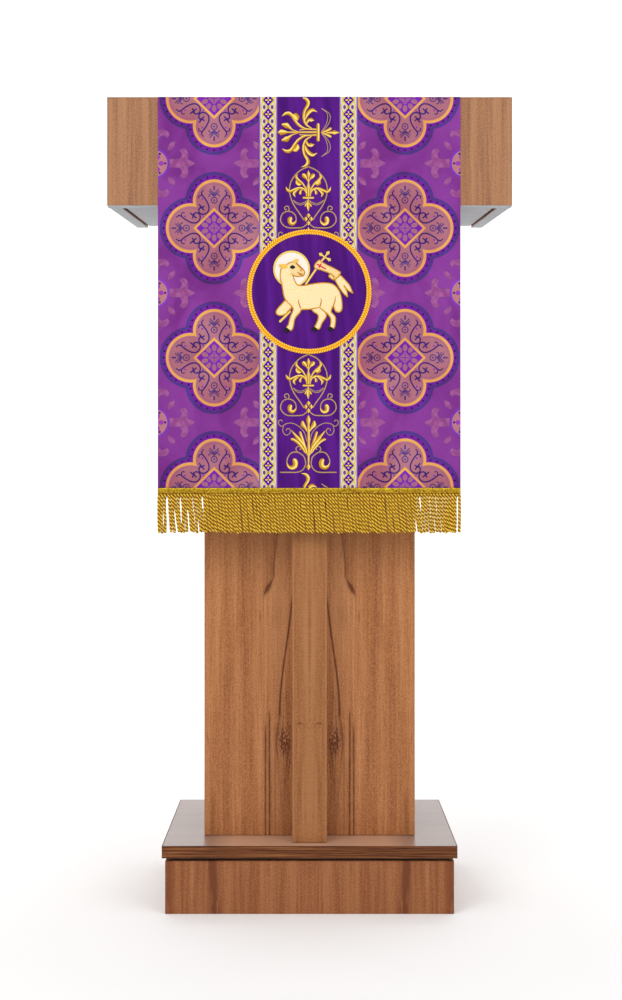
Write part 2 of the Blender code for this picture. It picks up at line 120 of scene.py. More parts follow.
class Graph:
    """A material's node tree, built by formulas."""

    def __init__(self, name):
        self.material = bpy.data.materials.new(name)
        self.material.use_nodes = True
        self.tree = self.material.node_tree
        self.shader = self.tree.nodes["Principled BSDF"]

    def put(self, socket, value):
        if isinstance(value, Value):
            self.tree.links.new(value.socket, socket)
        elif socket.type == "RGBA":
            socket.default_value = (*value[:3], 1.0)
        else:
            socket.default_value = value

    def node(self, kind, *values, output=0, **settings):
        node = self.tree.nodes.new(kind)
        for key, setting in settings.items():
            setattr(node, key, setting)
        for socket, value in zip([s for s in node.inputs if s.enabled], values):
            self.put(socket, value)
        return Value(self, node.outputs[output])

    def math(self, operation, *values, clamp=False):
        return self.node("ShaderNodeMath", *values, operation=operation, use_clamp=clamp)

    def vectors(self, operation, *values, output=0):
        return self.node("ShaderNodeVectorMath", *values, operation=operation, output=output)

    def combine(self, x, y, z=0.0):
        return self.node("ShaderNodeCombineXYZ", x, y, z)

    def separate(self, vector):
        first = self.node("ShaderNodeSeparateXYZ", vector)
        outputs = first.socket.node.outputs
        return [Value(self, socket) for socket in outputs]

    def place(self):
        """X, Y and Z in metres, in the frame's axes."""
        return self.separate(self.node("ShaderNodeTexCoord", output=3))

    def flat(self):
        """The two numbers of the UV map: most often where a point lies on the piece laid flat."""
        return self.separate(self.node("ShaderNodeUVMap", uv_map="flat"))[:2]

    def flat_mm(self):
        return [part * 1000 for part in self.flat()]

    def length(self, x, y):
        return self.vectors("LENGTH", self.combine(x, y), output=1)

    def noise(self, x, y, z=0.0, detail=2.0, roughness=0.5, distortion=0.0):
        vector = self.combine(x, y, z)
        settings = {"Scale": 1.0, "Detail": detail, "Roughness": roughness, "Distortion": distortion}
        value = self.node("ShaderNodeTexNoise", vector)
        for socket in value.socket.node.inputs:
            if socket.name in settings:
                socket.default_value = settings[socket.name]
        return value

    def mix(self, factor, first, second):
        node = self.tree.nodes.new("ShaderNodeMix")
        node.data_type = "RGBA"
        self.put(node.inputs["Factor"], factor)
        colours = [s for s in node.inputs if s.type == "RGBA" and s.enabled]
        for socket, colour in zip(colours, (first, second)):
            self.put(socket, colour)
        result = [s for s in node.outputs if s.type == "RGBA" and s.enabled]
        return Value(self, result[0])

    def layers(self, colour, *coats):
        """Lays coats of colour over one another, each where its mask is 1."""
        for mask, coat in coats:
            colour = self.mix(mask, colour, coat)
        return colour

    def three_tones(self, value, steps, tones):
        """Goes through three colours as the value rises through three steps."""
        first, second, third = steps
        colour = self.mix(value.fade(first, second), tones[0], tones[1])
        return self.mix(value.fade(second, third), colour, tones[2])

    def brighten(self, colour, amount):
        """Multiplies a colour by a number."""
        return self.vectors("SCALE", colour, amount)

    def finish(self, colour=None, bump=None, depth=0.0002, **settings):
        """Sets the shader: settings name its sockets, with spaces as underscores."""
        if colour is not None:
            self.put(self.shader.inputs["Base Color"], colour)
        for name, value in settings.items():
            self.put(self.shader.inputs[name.replace("_", " ").title().replace("Ior", "IOR")], value)
        if bump is not None:
            node = self.tree.nodes.new("ShaderNodeBump")
            node.inputs["Strength"].default_value = 1.0
            node.inputs["Distance"].default_value = depth
            self.put(node.inputs["Height"], bump)
            self.tree.links.new(node.outputs[0], self.shader.inputs["Normal"])
        return self.material


def rgb(red, green, blue):
    """An sRGB colour, 0 to 255, as linear light."""
    shares = [channel / 255 for channel in (red, green, blue)]
    return tuple(s / 12.92 if s <= 0.04045 else ((s + 0.055) / 1.055) ** 2.4 for s in shares)


# ---------------------------------------------------------------- laminated boards


PLUM_LIGHT, PLUM_MIDDLE = rgb(192, 134, 88), rgb(168, 109, 65)
PLUM_DARK, PLUM_LINE = rgb(126, 72, 40), rgb(92, 45, 20)


def grain(g, across, along, seed, contrast=1.0):
    """The decor's own figure: its tone from dark (0) to light (1), and its fine dark pores."""
    drift = g.noise(across * 14 + seed, along * 3.0, seed * 1.7, detail=1.0)
    across = across + (drift - 0.5) * 0.008
    broad = g.noise(across * 62, along * 1.6, seed, detail=2.0)
    streaks = g.noise(across * 280, along * 7.0, seed + 3.1, detail=3.0, roughness=0.6)
    specks = g.noise(across * 760, along * 420, seed + 7.7, detail=2.0, roughness=0.7)
    pores = g.noise(across * 900, along * 60, seed + 11.3, detail=1.0)
    tone = 0.5 + ((broad - 0.5) * 0.65 + (streaks - 0.5) * 0.55 + (specks - 0.5) * 1.1) * contrast
    return tone, pores.fade(0.58, 0.72) * streaks.fade(0.66, 0.40) * 0.8


def plum(g, tone, pores, dark=0.0, shade=1.0):
    """The decor's colour: its tone, its pores and the dark lines drawn on it."""
    colour = g.layers(
        g.mix(tone.fade(0.18, 0.52), PLUM_DARK, PLUM_MIDDLE),
        (tone.fade(0.45, 0.85), PLUM_LIGHT),
        (pores * 0.6, PLUM_DARK),
        (dark, PLUM_LINE),
    )
    return g.brighten(colour, shade)


def upright_laminate(name, seed, shade=1.0, tint=None, figure=None, contrast=1.0):
    """Laminate with its grain standing up. figure gives the grain's place, dark lines and lighter parts; the
    lighter parts are mostly painted light, as painted highlights on ends and edges.
    """
    g = Graph(name)
    x, y, z = g.place()
    across, dark, light = x, 0.0, 0.0
    if figure:
        across, dark, light = figure(g, abs(x), z)
    tone, pores = grain(g, across + y * 0.93, z, seed, contrast)
    # light holds the figure's painted highlights and painted light
    tone = tone + light
    colour = plum(g, tone, pores, dark, shade)
    if tint:
        colour = g.mix(0.35, colour, tint)
    return g.finish(colour, tone * 0.5 - pores, 0.00006, **SOFT_SHINE)


def level_laminate(name, seed):
    """Laminate with its grain running across the pulpit."""
    g = Graph(name)
    x, y, z = g.place()
    tone, pores = grain(g, y + z * 1.07, x, seed)
    colour = plum(g, tone, pores)
    return g.finish(colour, tone * 0.5 - pores, 0.00004, **SOFT_SHINE)


def slab_laminate():
    """The slab's satin varnish. Its decor is greyed towards a painted sheen of the white backdrop, and warmer
    in front of the column, a painted reflection of the column.
    """
    g = Graph("slab_laminate")
    x, y, z = g.place()
    tone, pores = grain(g, y + z * 1.07, x, 36.5)
    # Painted reflection: warm where the column would be mirrored in the slab in front of it, a grey painted
    # sheen elsewhere
    front = abs(x).fade(0.168, 0.108) * y.fade(-0.080, -0.130)
    colour = g.mix(0.6, plum(g, tone, pores), g.mix(front, rgb(104, 106, 110), rgb(226, 190, 164)))
    return g.finish(
        colour,
        tone * 0.5 - pores,
        0.00004,
        **SOFT_SHINE,
        coat_weight=1.0,
        coat_roughness=0.32,
        coat_ior=1.68,
    )


UPPER_KNOT, LOWER_KNOT = (0.0628, 0.4752), (0.0379, 0.2430)  # from the column's middle, and up


def column_figure_and_painted_light(g, x, z):
    """The book-matched figure of the column's front: x is the distance from the middle."""
    wavering = g.noise(x * 300, z * 60, 4.0, detail=2.0)
    # The inner leaf's edge bends away from the middle through the upper knot, then runs straight down
    edge = 0.0489 + z.fade(0.560, 0.500) * 0.0050 + z.fade(0.495, 0.462) * 0.0148
    dark = x.bell(edge, 0.0014) * z.fade(0.452, 0.475) * 0.5
    dark = dark + (x - edge).bell(0.004, 0.005) * z.bell(0.505, 0.022) * 0.25
    # The upper knot is a short slanting stroke, the lower one a cluster of dark flecks
    beside, above = x - UPPER_KNOT[0], z - UPPER_KNOT[1]
    dark = dark + g.length((beside + above * 0.44) / 0.0038, above / 0.0088).bell(0.0, 1.0) * 1.2
    beside, above = x - LOWER_KNOT[0], z - LOWER_KNOT[1]
    away = g.length(beside / 0.0088, above / 0.0200)
    flecks = g.noise(x * 480, z * 190, 3.0, detail=2.0).fade(0.41, 0.55)
    dark = dark + away.bell(0.25, 0.70) * flecks * 1.5
    across = x - beside * away.bell(0.0, 2.1) * 0.8
    # A dark line leaves the post's edge and runs down to the lower knot
    line = 0.0262 + z.fade(0.480, 0.290) * 0.0186
    dark = dark + x.bell(line, 0.0015) * z.fade(0.262, 0.300) * z.fade(0.480, 0.440) * 1.1
    # Fine lines flow round that knot and on down
    lines = g.noise(across * 430, z * 9, 8.0, detail=1.0).fade(0.50, 0.62)
    flow = x.fade(0.056, 0.046) * z.fade(0.350, 0.285)
    dark = dark + lines * flow * (z.bell(0.235, 0.045) * 0.5 + 0.28)
    # Twin lines beside the inner leaf's edge, and a fainter third
    for offset, strength, top in ((0.0020, 0.9, 0.278), (0.0080, 1.0, 0.300), (0.0166, 0.35, 0.270)):
        dark = dark + x.bell(edge - offset, 0.0015) * z.fade(top, top - 0.025) * strength
    # Two soft marks beside the upper knot
    dark = dark + x.bell(0.0495, 0.0060) * z.bell(0.430, 0.026) * 0.26
    dark = dark + x.bell(0.0747, 0.0013) * z.bell(0.432, 0.008) * 0.5
    dark = dark + x.bell(0.1460, 0.0030) * z.fade(0.175, 0.150) * z.fade(0.092, 0.112) * 0.4
    dark = dark * wavering.fade(0.25, 0.55, 0.6, 1.0)
    inner = (x - edge).fade(0.0004, -0.0004)
    # The inner leaf is a little lighter, and from 0.30 m up it is painted lighter still: painted light
    # against the shade that the fringe and the post cast there
    return across + inner * 0.47, dark.low(0.92), inner * z.fade(0.30, 0.46, 0.03, 0.20)


def fascia_figure_and_painted_highlight(g, x, z):
    """The fascia's ends carry a painted highlight that makes them a little lighter, and its fibres run in
    coarse dark streaks.
    """
    fibres = g.noise(x * 460, z * 20, 6.0, detail=3.0, roughness=0.7)
    return x, fibres.fade(0.50, 0.80) * 0.42, x.fade(0.235, 0.290) * 0.16


def post_figure_and_painted_highlights(_, x, z):
    """The post is cut from two lengths of the decor, with a bud-shaped mark above the cut, and a painted
    highlight along each edge.
    """
    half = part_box("front_post")[1].x
    cut = z.fade(0.2725, 0.2715)
    bow = z - 0.2785 + (x - 0.0142) * (x - 0.0142) * 90.0
    mark = bow.bell(0.0, 0.0017) * x.bell(0.0142, 0.0066)
    return x + cut * 0.17, mark * 0.9 + cut * 0.04, x.bell(half - 0.0012, 0.0008) * 0.7


def plinth_figure(g, x, z):
    """A broad dark streak on each half of the plinth."""
    streak = x.bell(0.1410 + (z - 0.04) * 0.06, 0.0085)
    ragged = g.noise(x * 210, z * 26, 2.0, detail=3.0)
    edge = x.bell(0.207, 0.007)
    veins = g.noise(x * 120, z * 9, 7.0, detail=2.0).fade(0.46, 0.70)
    return x, (streak * 1.1 + edge * 0.8) * ragged.fade(0.22, 0.52) + veins * 0.25, 0.0


def paint(node, material):
    nodes[node].data.materials.clear()
    nodes[node].data.materials.append(material)


def dress_boards():
    """Each board has its own seed and shade. Those in front also have a tint, a figure and more contrast; the
    figures of the fascia, the post and the column also hold painted light.
    """
    boards = {
        "head_fascia": (2.3, 0.85, rgb(168, 130, 104), fascia_figure_and_painted_highlight, 2.2),
        "column_front_board": (5.1, 1.03, None, column_figure_and_painted_light),
        "front_post": (8.4, 0.83, rgb(150, 96, 52), post_figure_and_painted_highlights, 1.5),
        "plinth_front_board": (6.2, 0.79, rgb(150, 84, 50), plinth_figure, 1.5),
        "plinth_back_board": (3.7, 0.80),
        "plinth_left_board": (4.9, 0.80),
        "plinth_right_board": (9.2, 0.80),
        "column_back_board": (12.6, 1.0),
        "column_left_board": (14.1, 0.97),
        "column_right_board": (17.3, 0.97),
        "head_left_side": (19.9, 1.0),
        "head_right_side": (23.4, 1.0),
        "head_back_rail": (27.7, 1.0),
    }
    for node, looks in boards.items():
        paint(node, upright_laminate(f"{node}_laminate", *looks))
    paint("desk_board", level_laminate("desk_laminate", 31.2))
    paint("book_stop", level_laminate("stop_laminate", 33.8))
    paint("base_slab", slab_laminate())
    edging = dark_edging()
    for side in ("front", "back", "left", "right"):
        paint(f"slab_edge_{side}", edging)
    for side in ("top", "left", "right"):
        paint(f"fascia_edge_{side}", upright_laminate(f"fascia_{side}_edging", 41.0, 0.85))


def dark_edging():
    """Wood-grain edging, browner than the boards, with its grain along the edge."""
    g = Graph("dark_edging")
    x, y, z = g.place()
    along = x + y * 0.97
    streaks = g.noise(z * 520, along * 7, 1.3, detail=3.0, roughness=0.6)
    fine = g.noise(z * 1900, along * 40, 5.3, detail=2.0)
    tone = streaks * 0.75 + fine * 0.25
    colour = g.mix(tone.fade(0.36, 0.52), rgb(50, 20, 6), rgb(106, 58, 26))
    colour = g.mix(tone.fade(0.50, 0.66), colour, rgb(146, 94, 50))
    return g.finish(colour, tone, 0.00005, **SOFT_SHINE)


def speckled(name, size, first, second, depth=0.0, **settings):
    """A plain material with fine mottling, and relief of that depth."""
    g = Graph(name)
    speck = g.noise(*(part * size for part in g.place()), detail=2.0)
    return g.finish(g.mix(speck, first, second), speck if depth else None, depth, **settings)


def dress_plain_parts():
    g = Graph("grey_melamine")
    x, y, z = g.place()
    cloud = g.noise(x * 30, y * 90, z * 30, detail=4.0)
    speck = g.noise(x * 900, y * 900, z * 900, detail=1.0)
    colour = g.mix(cloud * 0.6 + speck * 0.4, rgb(148, 152, 158), rgb(188, 192, 197))
    grey = g.finish(colour, speck, 0.00003, roughness=0.6, specular_ior_level=0.2)
    for node in ("head_bottom_board", "fascia_edge_bottom", "head_left_rim", "head_right_rim"):
        paint(node, grey)
    black = speckled("black_board", 500, rgb(14, 9, 7), rgb(34, 22, 17), 0.0001, roughness=0.7)
    paint("reveal_board", black)

    g = Graph("planed_softwood")
    x, y, z = g.place()
    rings = g.noise(x * 160 + y * 160, z * 6, 1.0, detail=3.0, distortion=0.4)
    colour = g.mix(rings.fade(0.3, 0.7), rgb(214, 178, 128), rgb(170, 124, 78))
    softwood = g.finish(colour, rings, 0.0001, roughness=0.7)
    tones = rgb(150, 152, 156), rgb(205, 206, 208)
    zinc = speckled("zinc", 1500, *tones, 0.00003, roughness=0.35, metallic=1.0)
    for name in nodes:
        if name.endswith(("_block", "_batten", "_dowel")):
            paint(name, softwood)
        elif name.endswith("_screw"):
            paint(name, zinc)


dress_boards()
dress_plain_parts()


# ---------------------------------------------------------------- the fall: its path and its layers


DESK_SLOPE = math.radians(10.0)
BOARD = 0.018
STOP_HEIGHT = 0.020
CLEAR = 0.0003  # between the boards and the lining
TIGHT_FOLD, LOOSE_FOLD = 0.0012, 0.010
CLOTH_STEP = 0.005  # between the vertices of the cloth

FRONT_HEM, REAR_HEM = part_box("front_fringe_heading")[0].z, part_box("rear_fringe_heading")[0].z
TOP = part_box("fascia_edge_top")[1].z

# The cloth is not quite as wide as the row's plain solid, and lies a little to the left
CLOTH_LEFT, CLOTH_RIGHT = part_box("fall_lining")[0].x - 0.0011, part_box("fall_lining")[1].x - 0.0002

# Where each layer starts and ends, outwards from the lining's inner side
LINING, BROCADE, TRIM = (-0.0001, 0.0001), (0.0001, 0.0004), (0.0004, 0.0007)


def fall_corners():
    """The corners that the cloth turns round, in the YZ plane, and the radius of each fold."""
    front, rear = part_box("head_fascia")[0].y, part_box("desk_board")[1].y
    desk_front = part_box("desk_board")[0].y
    along = np.array((math.cos(DESK_SLOPE), -math.sin(DESK_SLOPE)))
    up = np.array((math.sin(DESK_SLOPE), math.cos(DESK_SLOPE)))
    desk_rear = np.array((rear, TOP - (rear - desk_front) * math.tan(DESK_SLOPE)))
    stop_foot = desk_rear - along * (BOARD + CLEAR) + up * CLEAR
    stop_top = stop_foot + up * STOP_HEIGHT
    back_top = stop_top + along * (BOARD + 2 * CLEAR)
    edge = np.array((front - CLEAR, TOP + CLEAR))
    return [
        (np.array((edge[0], FRONT_HEM)), 0.0),
        (edge, TIGHT_FOLD),
        (np.array((desk_front, edge[1])), LOOSE_FOLD),
        (stop_foot, LOOSE_FOLD),
        (stop_top, TIGHT_FOLD),
        (back_top, TIGHT_FOLD),
        (np.array((back_top[0], REAR_HEM)), 0.0),
    ]


def trace_fall():
    """Points along the lining's inner side: how far from the front hem, where, and the outward normals."""
    line = fall_corners()
    rows = []
    for i, (corner, radius) in enumerate(line):
        ahead = line[min(i + 1, len(line) - 1)][0] - line[min(i, len(line) - 2)][0]
        back = corner - line[i - 1][0] if i else ahead
        if i == len(line) - 1:
            ahead = back
        first, last = math.atan2(back[1], back[0]), math.atan2(ahead[1], ahead[0])
        bend = (last - first + math.pi) % math.tau - math.pi
        if abs(bend) < 1e-6:
            rows.append((corner, (-math.sin(first), math.cos(first))))
            continue
        side = 1 if bend > 0 else -1
        start = corner - back / np.linalg.norm(back) * radius * math.tan(abs(bend) / 2)
        centre = start + np.array((-math.sin(first), math.cos(first))) * radius * side
        steps = max(2, round(abs(bend) / math.radians(9)))
        for step in range(steps + 1):
            angle = first + bend * step / steps
            normal = np.array((-math.sin(angle), math.cos(angle)))
            rows.append((centre - normal * radius * side, normal))
    points = np.array([point for point, _ in rows])
    normals = np.array([normal for _, normal in rows])
    gaps = np.linalg.norm(np.diff(points, axis=0), axis=1)
    return np.concatenate(([0], np.cumsum(gaps))), points, normals


FALL_RUN, FALL_POINTS, FALL_NORMALS = trace_fall()
FALL_LENGTH = FALL_RUN[-1]
FALL_TOP = FRONT_HEM + FALL_LENGTH  # the rear hem's place along the cloth
FREE_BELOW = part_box("fascia_edge_bottom")[0].z


def step_up(value, low, high):
    share = np.clip((value - low) / (high - low), 0, 1)
    return share * share * (3 - 2 * share)


def ripple(u, v):
    """How far the cloth stands off its plane: soft upright folds, and faint puckers on the fascia."""
    front = step_up(-v, -FREE_BELOW, 0.34 - FREE_BELOW)
    rear = step_up(v, FALL_TOP - 0.13, FALL_TOP + 0.05)
    slow = np.sin(math.tau * (u / 0.230 + 0.13 + 0.25 * v))
    middle = np.sin(math.tau * (u / 0.118 + 0.41 - 0.35 * v))
    quick = np.sin(math.tau * (u / 0.067 + 0.77 + 0.55 * v))
    folds = slow * 0.5 + middle * 0.32 + quick * 0.18
    pucker = 0.5 + 0.5 * np.sin(math.tau * (u / 0.051 + 0.2 + 1.4 * v)) * np.cos(math.tau * v / 0.13)
    on_fascia = step_up(v, FREE_BELOW - 0.03, FREE_BELOW + 0.03)
    on_fascia = on_fascia * step_up(-v, -TOP + 0.004, -TOP + 0.05)
    return 0.0026 * (front + 0.6 * rear) * folds + 0.0003 * on_fascia * pucker


def lay(u, v, height):
    """Points of the cloth laid flat (u across, v along, as the front drop's height) put on its path."""
    u, v, height = np.broadcast_arrays(*(np.asarray(part, float) for part in (u, v, height)))
    run = v - FRONT_HEM
    y, z = (np.interp(run, FALL_RUN, FALL_POINTS[:, axis]) for axis in (0, 1))
    normal_y, normal_z = (np.interp(run, FALL_RUN, FALL_NORMALS[:, axis]) for axis in (0, 1))
    below = np.minimum(run, 0)  # the fringe hangs on past the front hem
    beyond = np.maximum(run - FALL_LENGTH, 0)
    off = height + ripple(u, v)
    return np.stack((u, y + normal_y * off, z + normal_z * off + below - beyond), axis=-1)


def add_piece(name, vertices, faces, flat, material, slot=None, replaces=(), angle=60):
    """A piece of the fall, with two numbers for each vertex in its UV map, sharp above that angle."""
    mesh = bpy.data.meshes.new(name)
    mesh.from_pydata([tuple(vertex) for vertex in vertices], [], [tuple(face) for face in faces])
    layer = mesh.uv_layers.new(name="flat")
    loops = np.zeros(len(mesh.loops), np.int32)
    mesh.loops.foreach_get("vertex_index", loops)
    layer.data.foreach_set("uv", np.asarray(flat, np.float32)[loops].ravel())
    mesh.materials.append(material)
    mesh.update()
    mesh.shade_smooth()
    mesh.set_sharp_from_angle(angle=math.radians(angle))
    piece = bpy.data.objects.new(name, mesh)
    scene.collection.objects.link(piece)
    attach(piece, "root")
    if replaces:
        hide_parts(*replaces)
    return piece


def along_fall():
    """Places along the cloth from hem to hem, close together in its folds."""
    start, end = FRONT_HEM, FALL_TOP
    places = set(np.round(FALL_RUN + FRONT_HEM, 6))
    places = {place for place in places if start + 1e-5 < place < end - 1e-5} | {start, end}
    filled = []
    ordered = sorted(places)
    for first, second in zip(ordered, ordered[1:]):
        count = max(1, math.ceil((second - first) / CLOTH_STEP))
        filled += [first + (second - first) * i / count for i in range(count)]
    return np.array(filled + [end])


def sheet_faces(rows, columns):
    """The faces of a closed thin solid: its inner sheet, then its outer sheet, and the rim between them."""
    count = rows * columns
    faces = []
    for row in range(rows - 1):
        for column in range(columns - 1):
            a = row * columns + column
            quad = (a, a + 1, a + columns + 1, a + columns)
            faces += [tuple(i + count for i in quad), quad[::-1]]
    rim = [row * columns for row in range(rows)]
    rim += [count - columns + column for column in range(1, columns)]
    rim += [row * columns + columns - 1 for row in range(rows - 2, -1, -1)]
    rim += range(columns - 2, 0, -1)
    return faces + [(b, a, a + count, b + count) for a, b in zip(rim, rim[1:] + rim[:1])]


def add_strip(name, left, right, layer, *looks):
    """A layer of the fall, from hem to hem."""
    us = np.linspace(left, right, max(2, round((right - left) / CLOTH_STEP) + 1))
    u, v = np.meshgrid(us, along_fall())
    vertices = np.concatenate([lay(u, v, height).reshape(-1, 3) for height in layer])
    flat = np.tile(np.stack((u, v), axis=-1).reshape(-1, 2), (2, 1))
    add_piece(name, vertices, sheet_faces(*u.shape), flat, *looks)


# ---------------------------------------------------------------- woven patterns


# Distances are in mm, below nothing inside a shape


def inside(distance, soft=0.2):
    return distance.fade(soft, -soft)


def drawn(distance, half_width, soft=0.2):
    """A line of that half width along a shape's edge."""
    return (abs(distance) - half_width).fade(soft, -soft)


def disc(g, x, y, centre, radius):
    return g.length(x - centre[0], y - centre[1]) - radius


def segment(g, x, y, start, end):
    """The distance from a straight stroke."""
    along = (end[0] - start[0], end[1] - start[1], 0.0)
    scale = along[0] ** 2 + along[1] ** 2
    away = g.combine(x - start[0], y - start[1])
    share = g.math("MULTIPLY", g.vectors("DOT_PRODUCT", away, along, output=1), 1 / scale, clamp=True)
    foot = g.vectors("SCALE", along, share)
    return g.vectors("DISTANCE", away, foot, output=1)


def arc(g, x, y, centre, radius, start, end):
    """The distance from a curved stroke between two angles, in degrees."""
    middle, half = math.radians((start + end) / 2), math.radians(abs(end - start) / 2)
    x, y = x - centre[0], y - centre[1]
    cosine, sine = math.cos(middle), math.sin(middle)
    turned = g.math("ARCTAN2", y * cosine - x * sine, x * cosine + y * sine)
    held = g.node("ShaderNodeClamp", turned, -half, half)
    foot_x, foot_y = g.math("COSINE", held) * radius, g.math("SINE", held) * radius
    return g.length(x * cosine + y * sine - foot_x, y * cosine - x * sine - foot_y)


def nearest(*distances):
    result = distances[0]
    for distance in distances[1:]:
        result = result.low(distance)
    return result


GROUND_DARK, GROUND_LIGHT = rgb(116, 35, 122), rgb(149, 64, 158)
MOTIF_DARK, MOTIF_LIGHT = rgb(148, 68, 126), rgb(176, 98, 150)
MAUVE_DARK, MAUVE_LIGHT = rgb(166, 92, 106), rgb(186, 118, 128)
THREAD = rgb(104, 66, 132)
ORANGE_DARK, ORANGE_LIGHT = rgb(224, 146, 80), rgb(244, 178, 84)
DYE = (0.85, 0.88, 0.95)  # what the cloth's own colour leaves of the light, in red, green and blue
REPEAT_ACROSS, REPEAT_UP = 176.0, 190.0  # the brocade's pattern, in mm


def ring_of(g, x, y, count, start=0.0):
    """Turns a place into its place beside the nearest of count spokes: out along it, and across."""
    step = math.tau / count
    spoke = (g.math("ARCTAN2", y, x) - start).wrapped(step)
    reach = g.length(x, y)
    return reach * g.math("COSINE", spoke), reach * g.math("SINE", spoke)


def add_rosettes(g, x, y, colour, shade):
    """Four-armed crosses of fleurs round a small ring, with a leaf in each corner."""
    wide, tall = abs(x), abs(y)
    a, b = wide.high(tall), wide.low(tall)
    taper = g.math("MULTIPLY", a - 45.0, 1 / 15.6, clamp=True)
    shaft = b - (1.0 - taper.power(1.6)) * 6.2
    tilt_a, tilt_b = (a - 43.2) + (b - 13.0) * 0.2, (b - 13.0) - (a - 43.2) * 0.2
    petal = (g.length(tilt_a / 6.6, tilt_b / 9.2) - 1.0) * 6.6
    petal = petal.high(6.6 - g.length(a - 34.0, b - 12.6))
    arm = g.math("SMOOTH_MIN", shaft, petal, 5.0).high(22.5 - a).high(a - 60.6)
    turn = math.radians(50)
    leaf_x, leaf_y = wide - 25.4, tall - 26.0
    leaf_a = leaf_x * math.cos(turn) + leaf_y * math.sin(turn)
    leaf_b = leaf_y * math.cos(turn) - leaf_x * math.sin(turn)
    leaf = abs(leaf_b) - (1.0 - (leaf_a / 8.4).power(2.0)) * 4.0
    motif = arm.low(leaf.high(abs(leaf_a) - 8.4))
    petal_shade = g.noise(x * 0.12, y * 0.12, 4.0, detail=2.0).fade(0.3, 0.7)
    radius = g.length(x, y)
    out_a, out_b = ring_of(g, x, y, 6)
    petals = (g.length((out_a - 10.2) / 4.0, out_b / 3.5) - 1.0) * 3.5
    return g.layers(
        colour,
        (inside(motif, 0.5) * 0.85, g.mix(petal_shade, MOTIF_DARK, MOTIF_LIGHT)),
        (drawn(motif - 0.3, 0.42) * 0.7, THREAD),
        # The ring and its band are lighter and darker with the cloth's patches, which are partly painted
        # shade of its folds
        (inside(radius - 19.4), g.mix(shade, MAUVE_LIGHT, rgb(190, 126, 124))),
        (drawn(radius - 20.9, 1.5), g.mix(shade, rgb(122, 40, 168), rgb(146, 62, 196))),
        (drawn(radius - 22.6, 0.35) * 0.6, THREAD),
        (inside(petals), rgb(158, 60, 172)),
        (inside(disc(g, out_a, out_b, (16.2, 0), 1.8)), rgb(66, 26, 118)),
    )


SIDE_LOBE, TOP_LOBE = 34.5, 40.3  # how far the lobes' centres lie from the quatrefoil's


def quatrefoil(g, wide, tall, side, top):
    """A four-lobed outline: side and top are the radii of its side lobes and of its upper and lower ones."""
    lobes = (g.length(wide - SIDE_LOBE, tall) - side).low(g.length(wide, tall - TOP_LOBE) - top)
    return lobes.low((wide - side + 2.9).high(tall - top - 3.4))


def scrolls(g, a, b):
    """One of the eight scrolls of a quatrefoil, with the crossed leaf inside its curl."""
    bold = nearest(
        arc(g, a, b, (26.0, 17.0), 5.5, 25, 192),
        arc(g, a, b, (29.1, 16.3), 8.7, 176, 288),
        arc(g, a, b, (19.5, 46.2), 40.5, -72, -44),
        segment(g, a, b, (48.2, 17.8), (52.2, 18.5)),
        segment(g, a, b, (26.6, 15.2), (34.6, 21.7)),
        segment(g, a, b, (31.9, 14.8), (29.4, 19.4)),
    )
    fine = nearest(
        arc(g, a, b, (45.4, 20.3), 2.5, -25, 130),
        segment(g, a, b, (52.2, 18.5), (55.6, 15.9)),
    )
    return bold.low(fine + 0.25)


def palmette(g, a, b):
    """Half of the small palmette at a lobe's end: a ring, an eye, and leaves fanned from a stem."""
    return nearest(
        abs(g.length(a - 40.9, b) - 4.3),
        g.length(a - 40.9, b) - 0.7,
        arc(g, a, b, (46.8, 4.6), 3.1, -75, 95),
        segment(g, a, b, (49.0, 0.5), (53.6, 7.2)),
        segment(g, a, b, (51.0, 0.2), (56.8, 6.2)),
        segment(g, a, b, (46.0, 0.0), (51.0, 0.0)),
        segment(g, a, b, (56.6, 0.0), (61.3, 0.0)) - 0.5,
    )


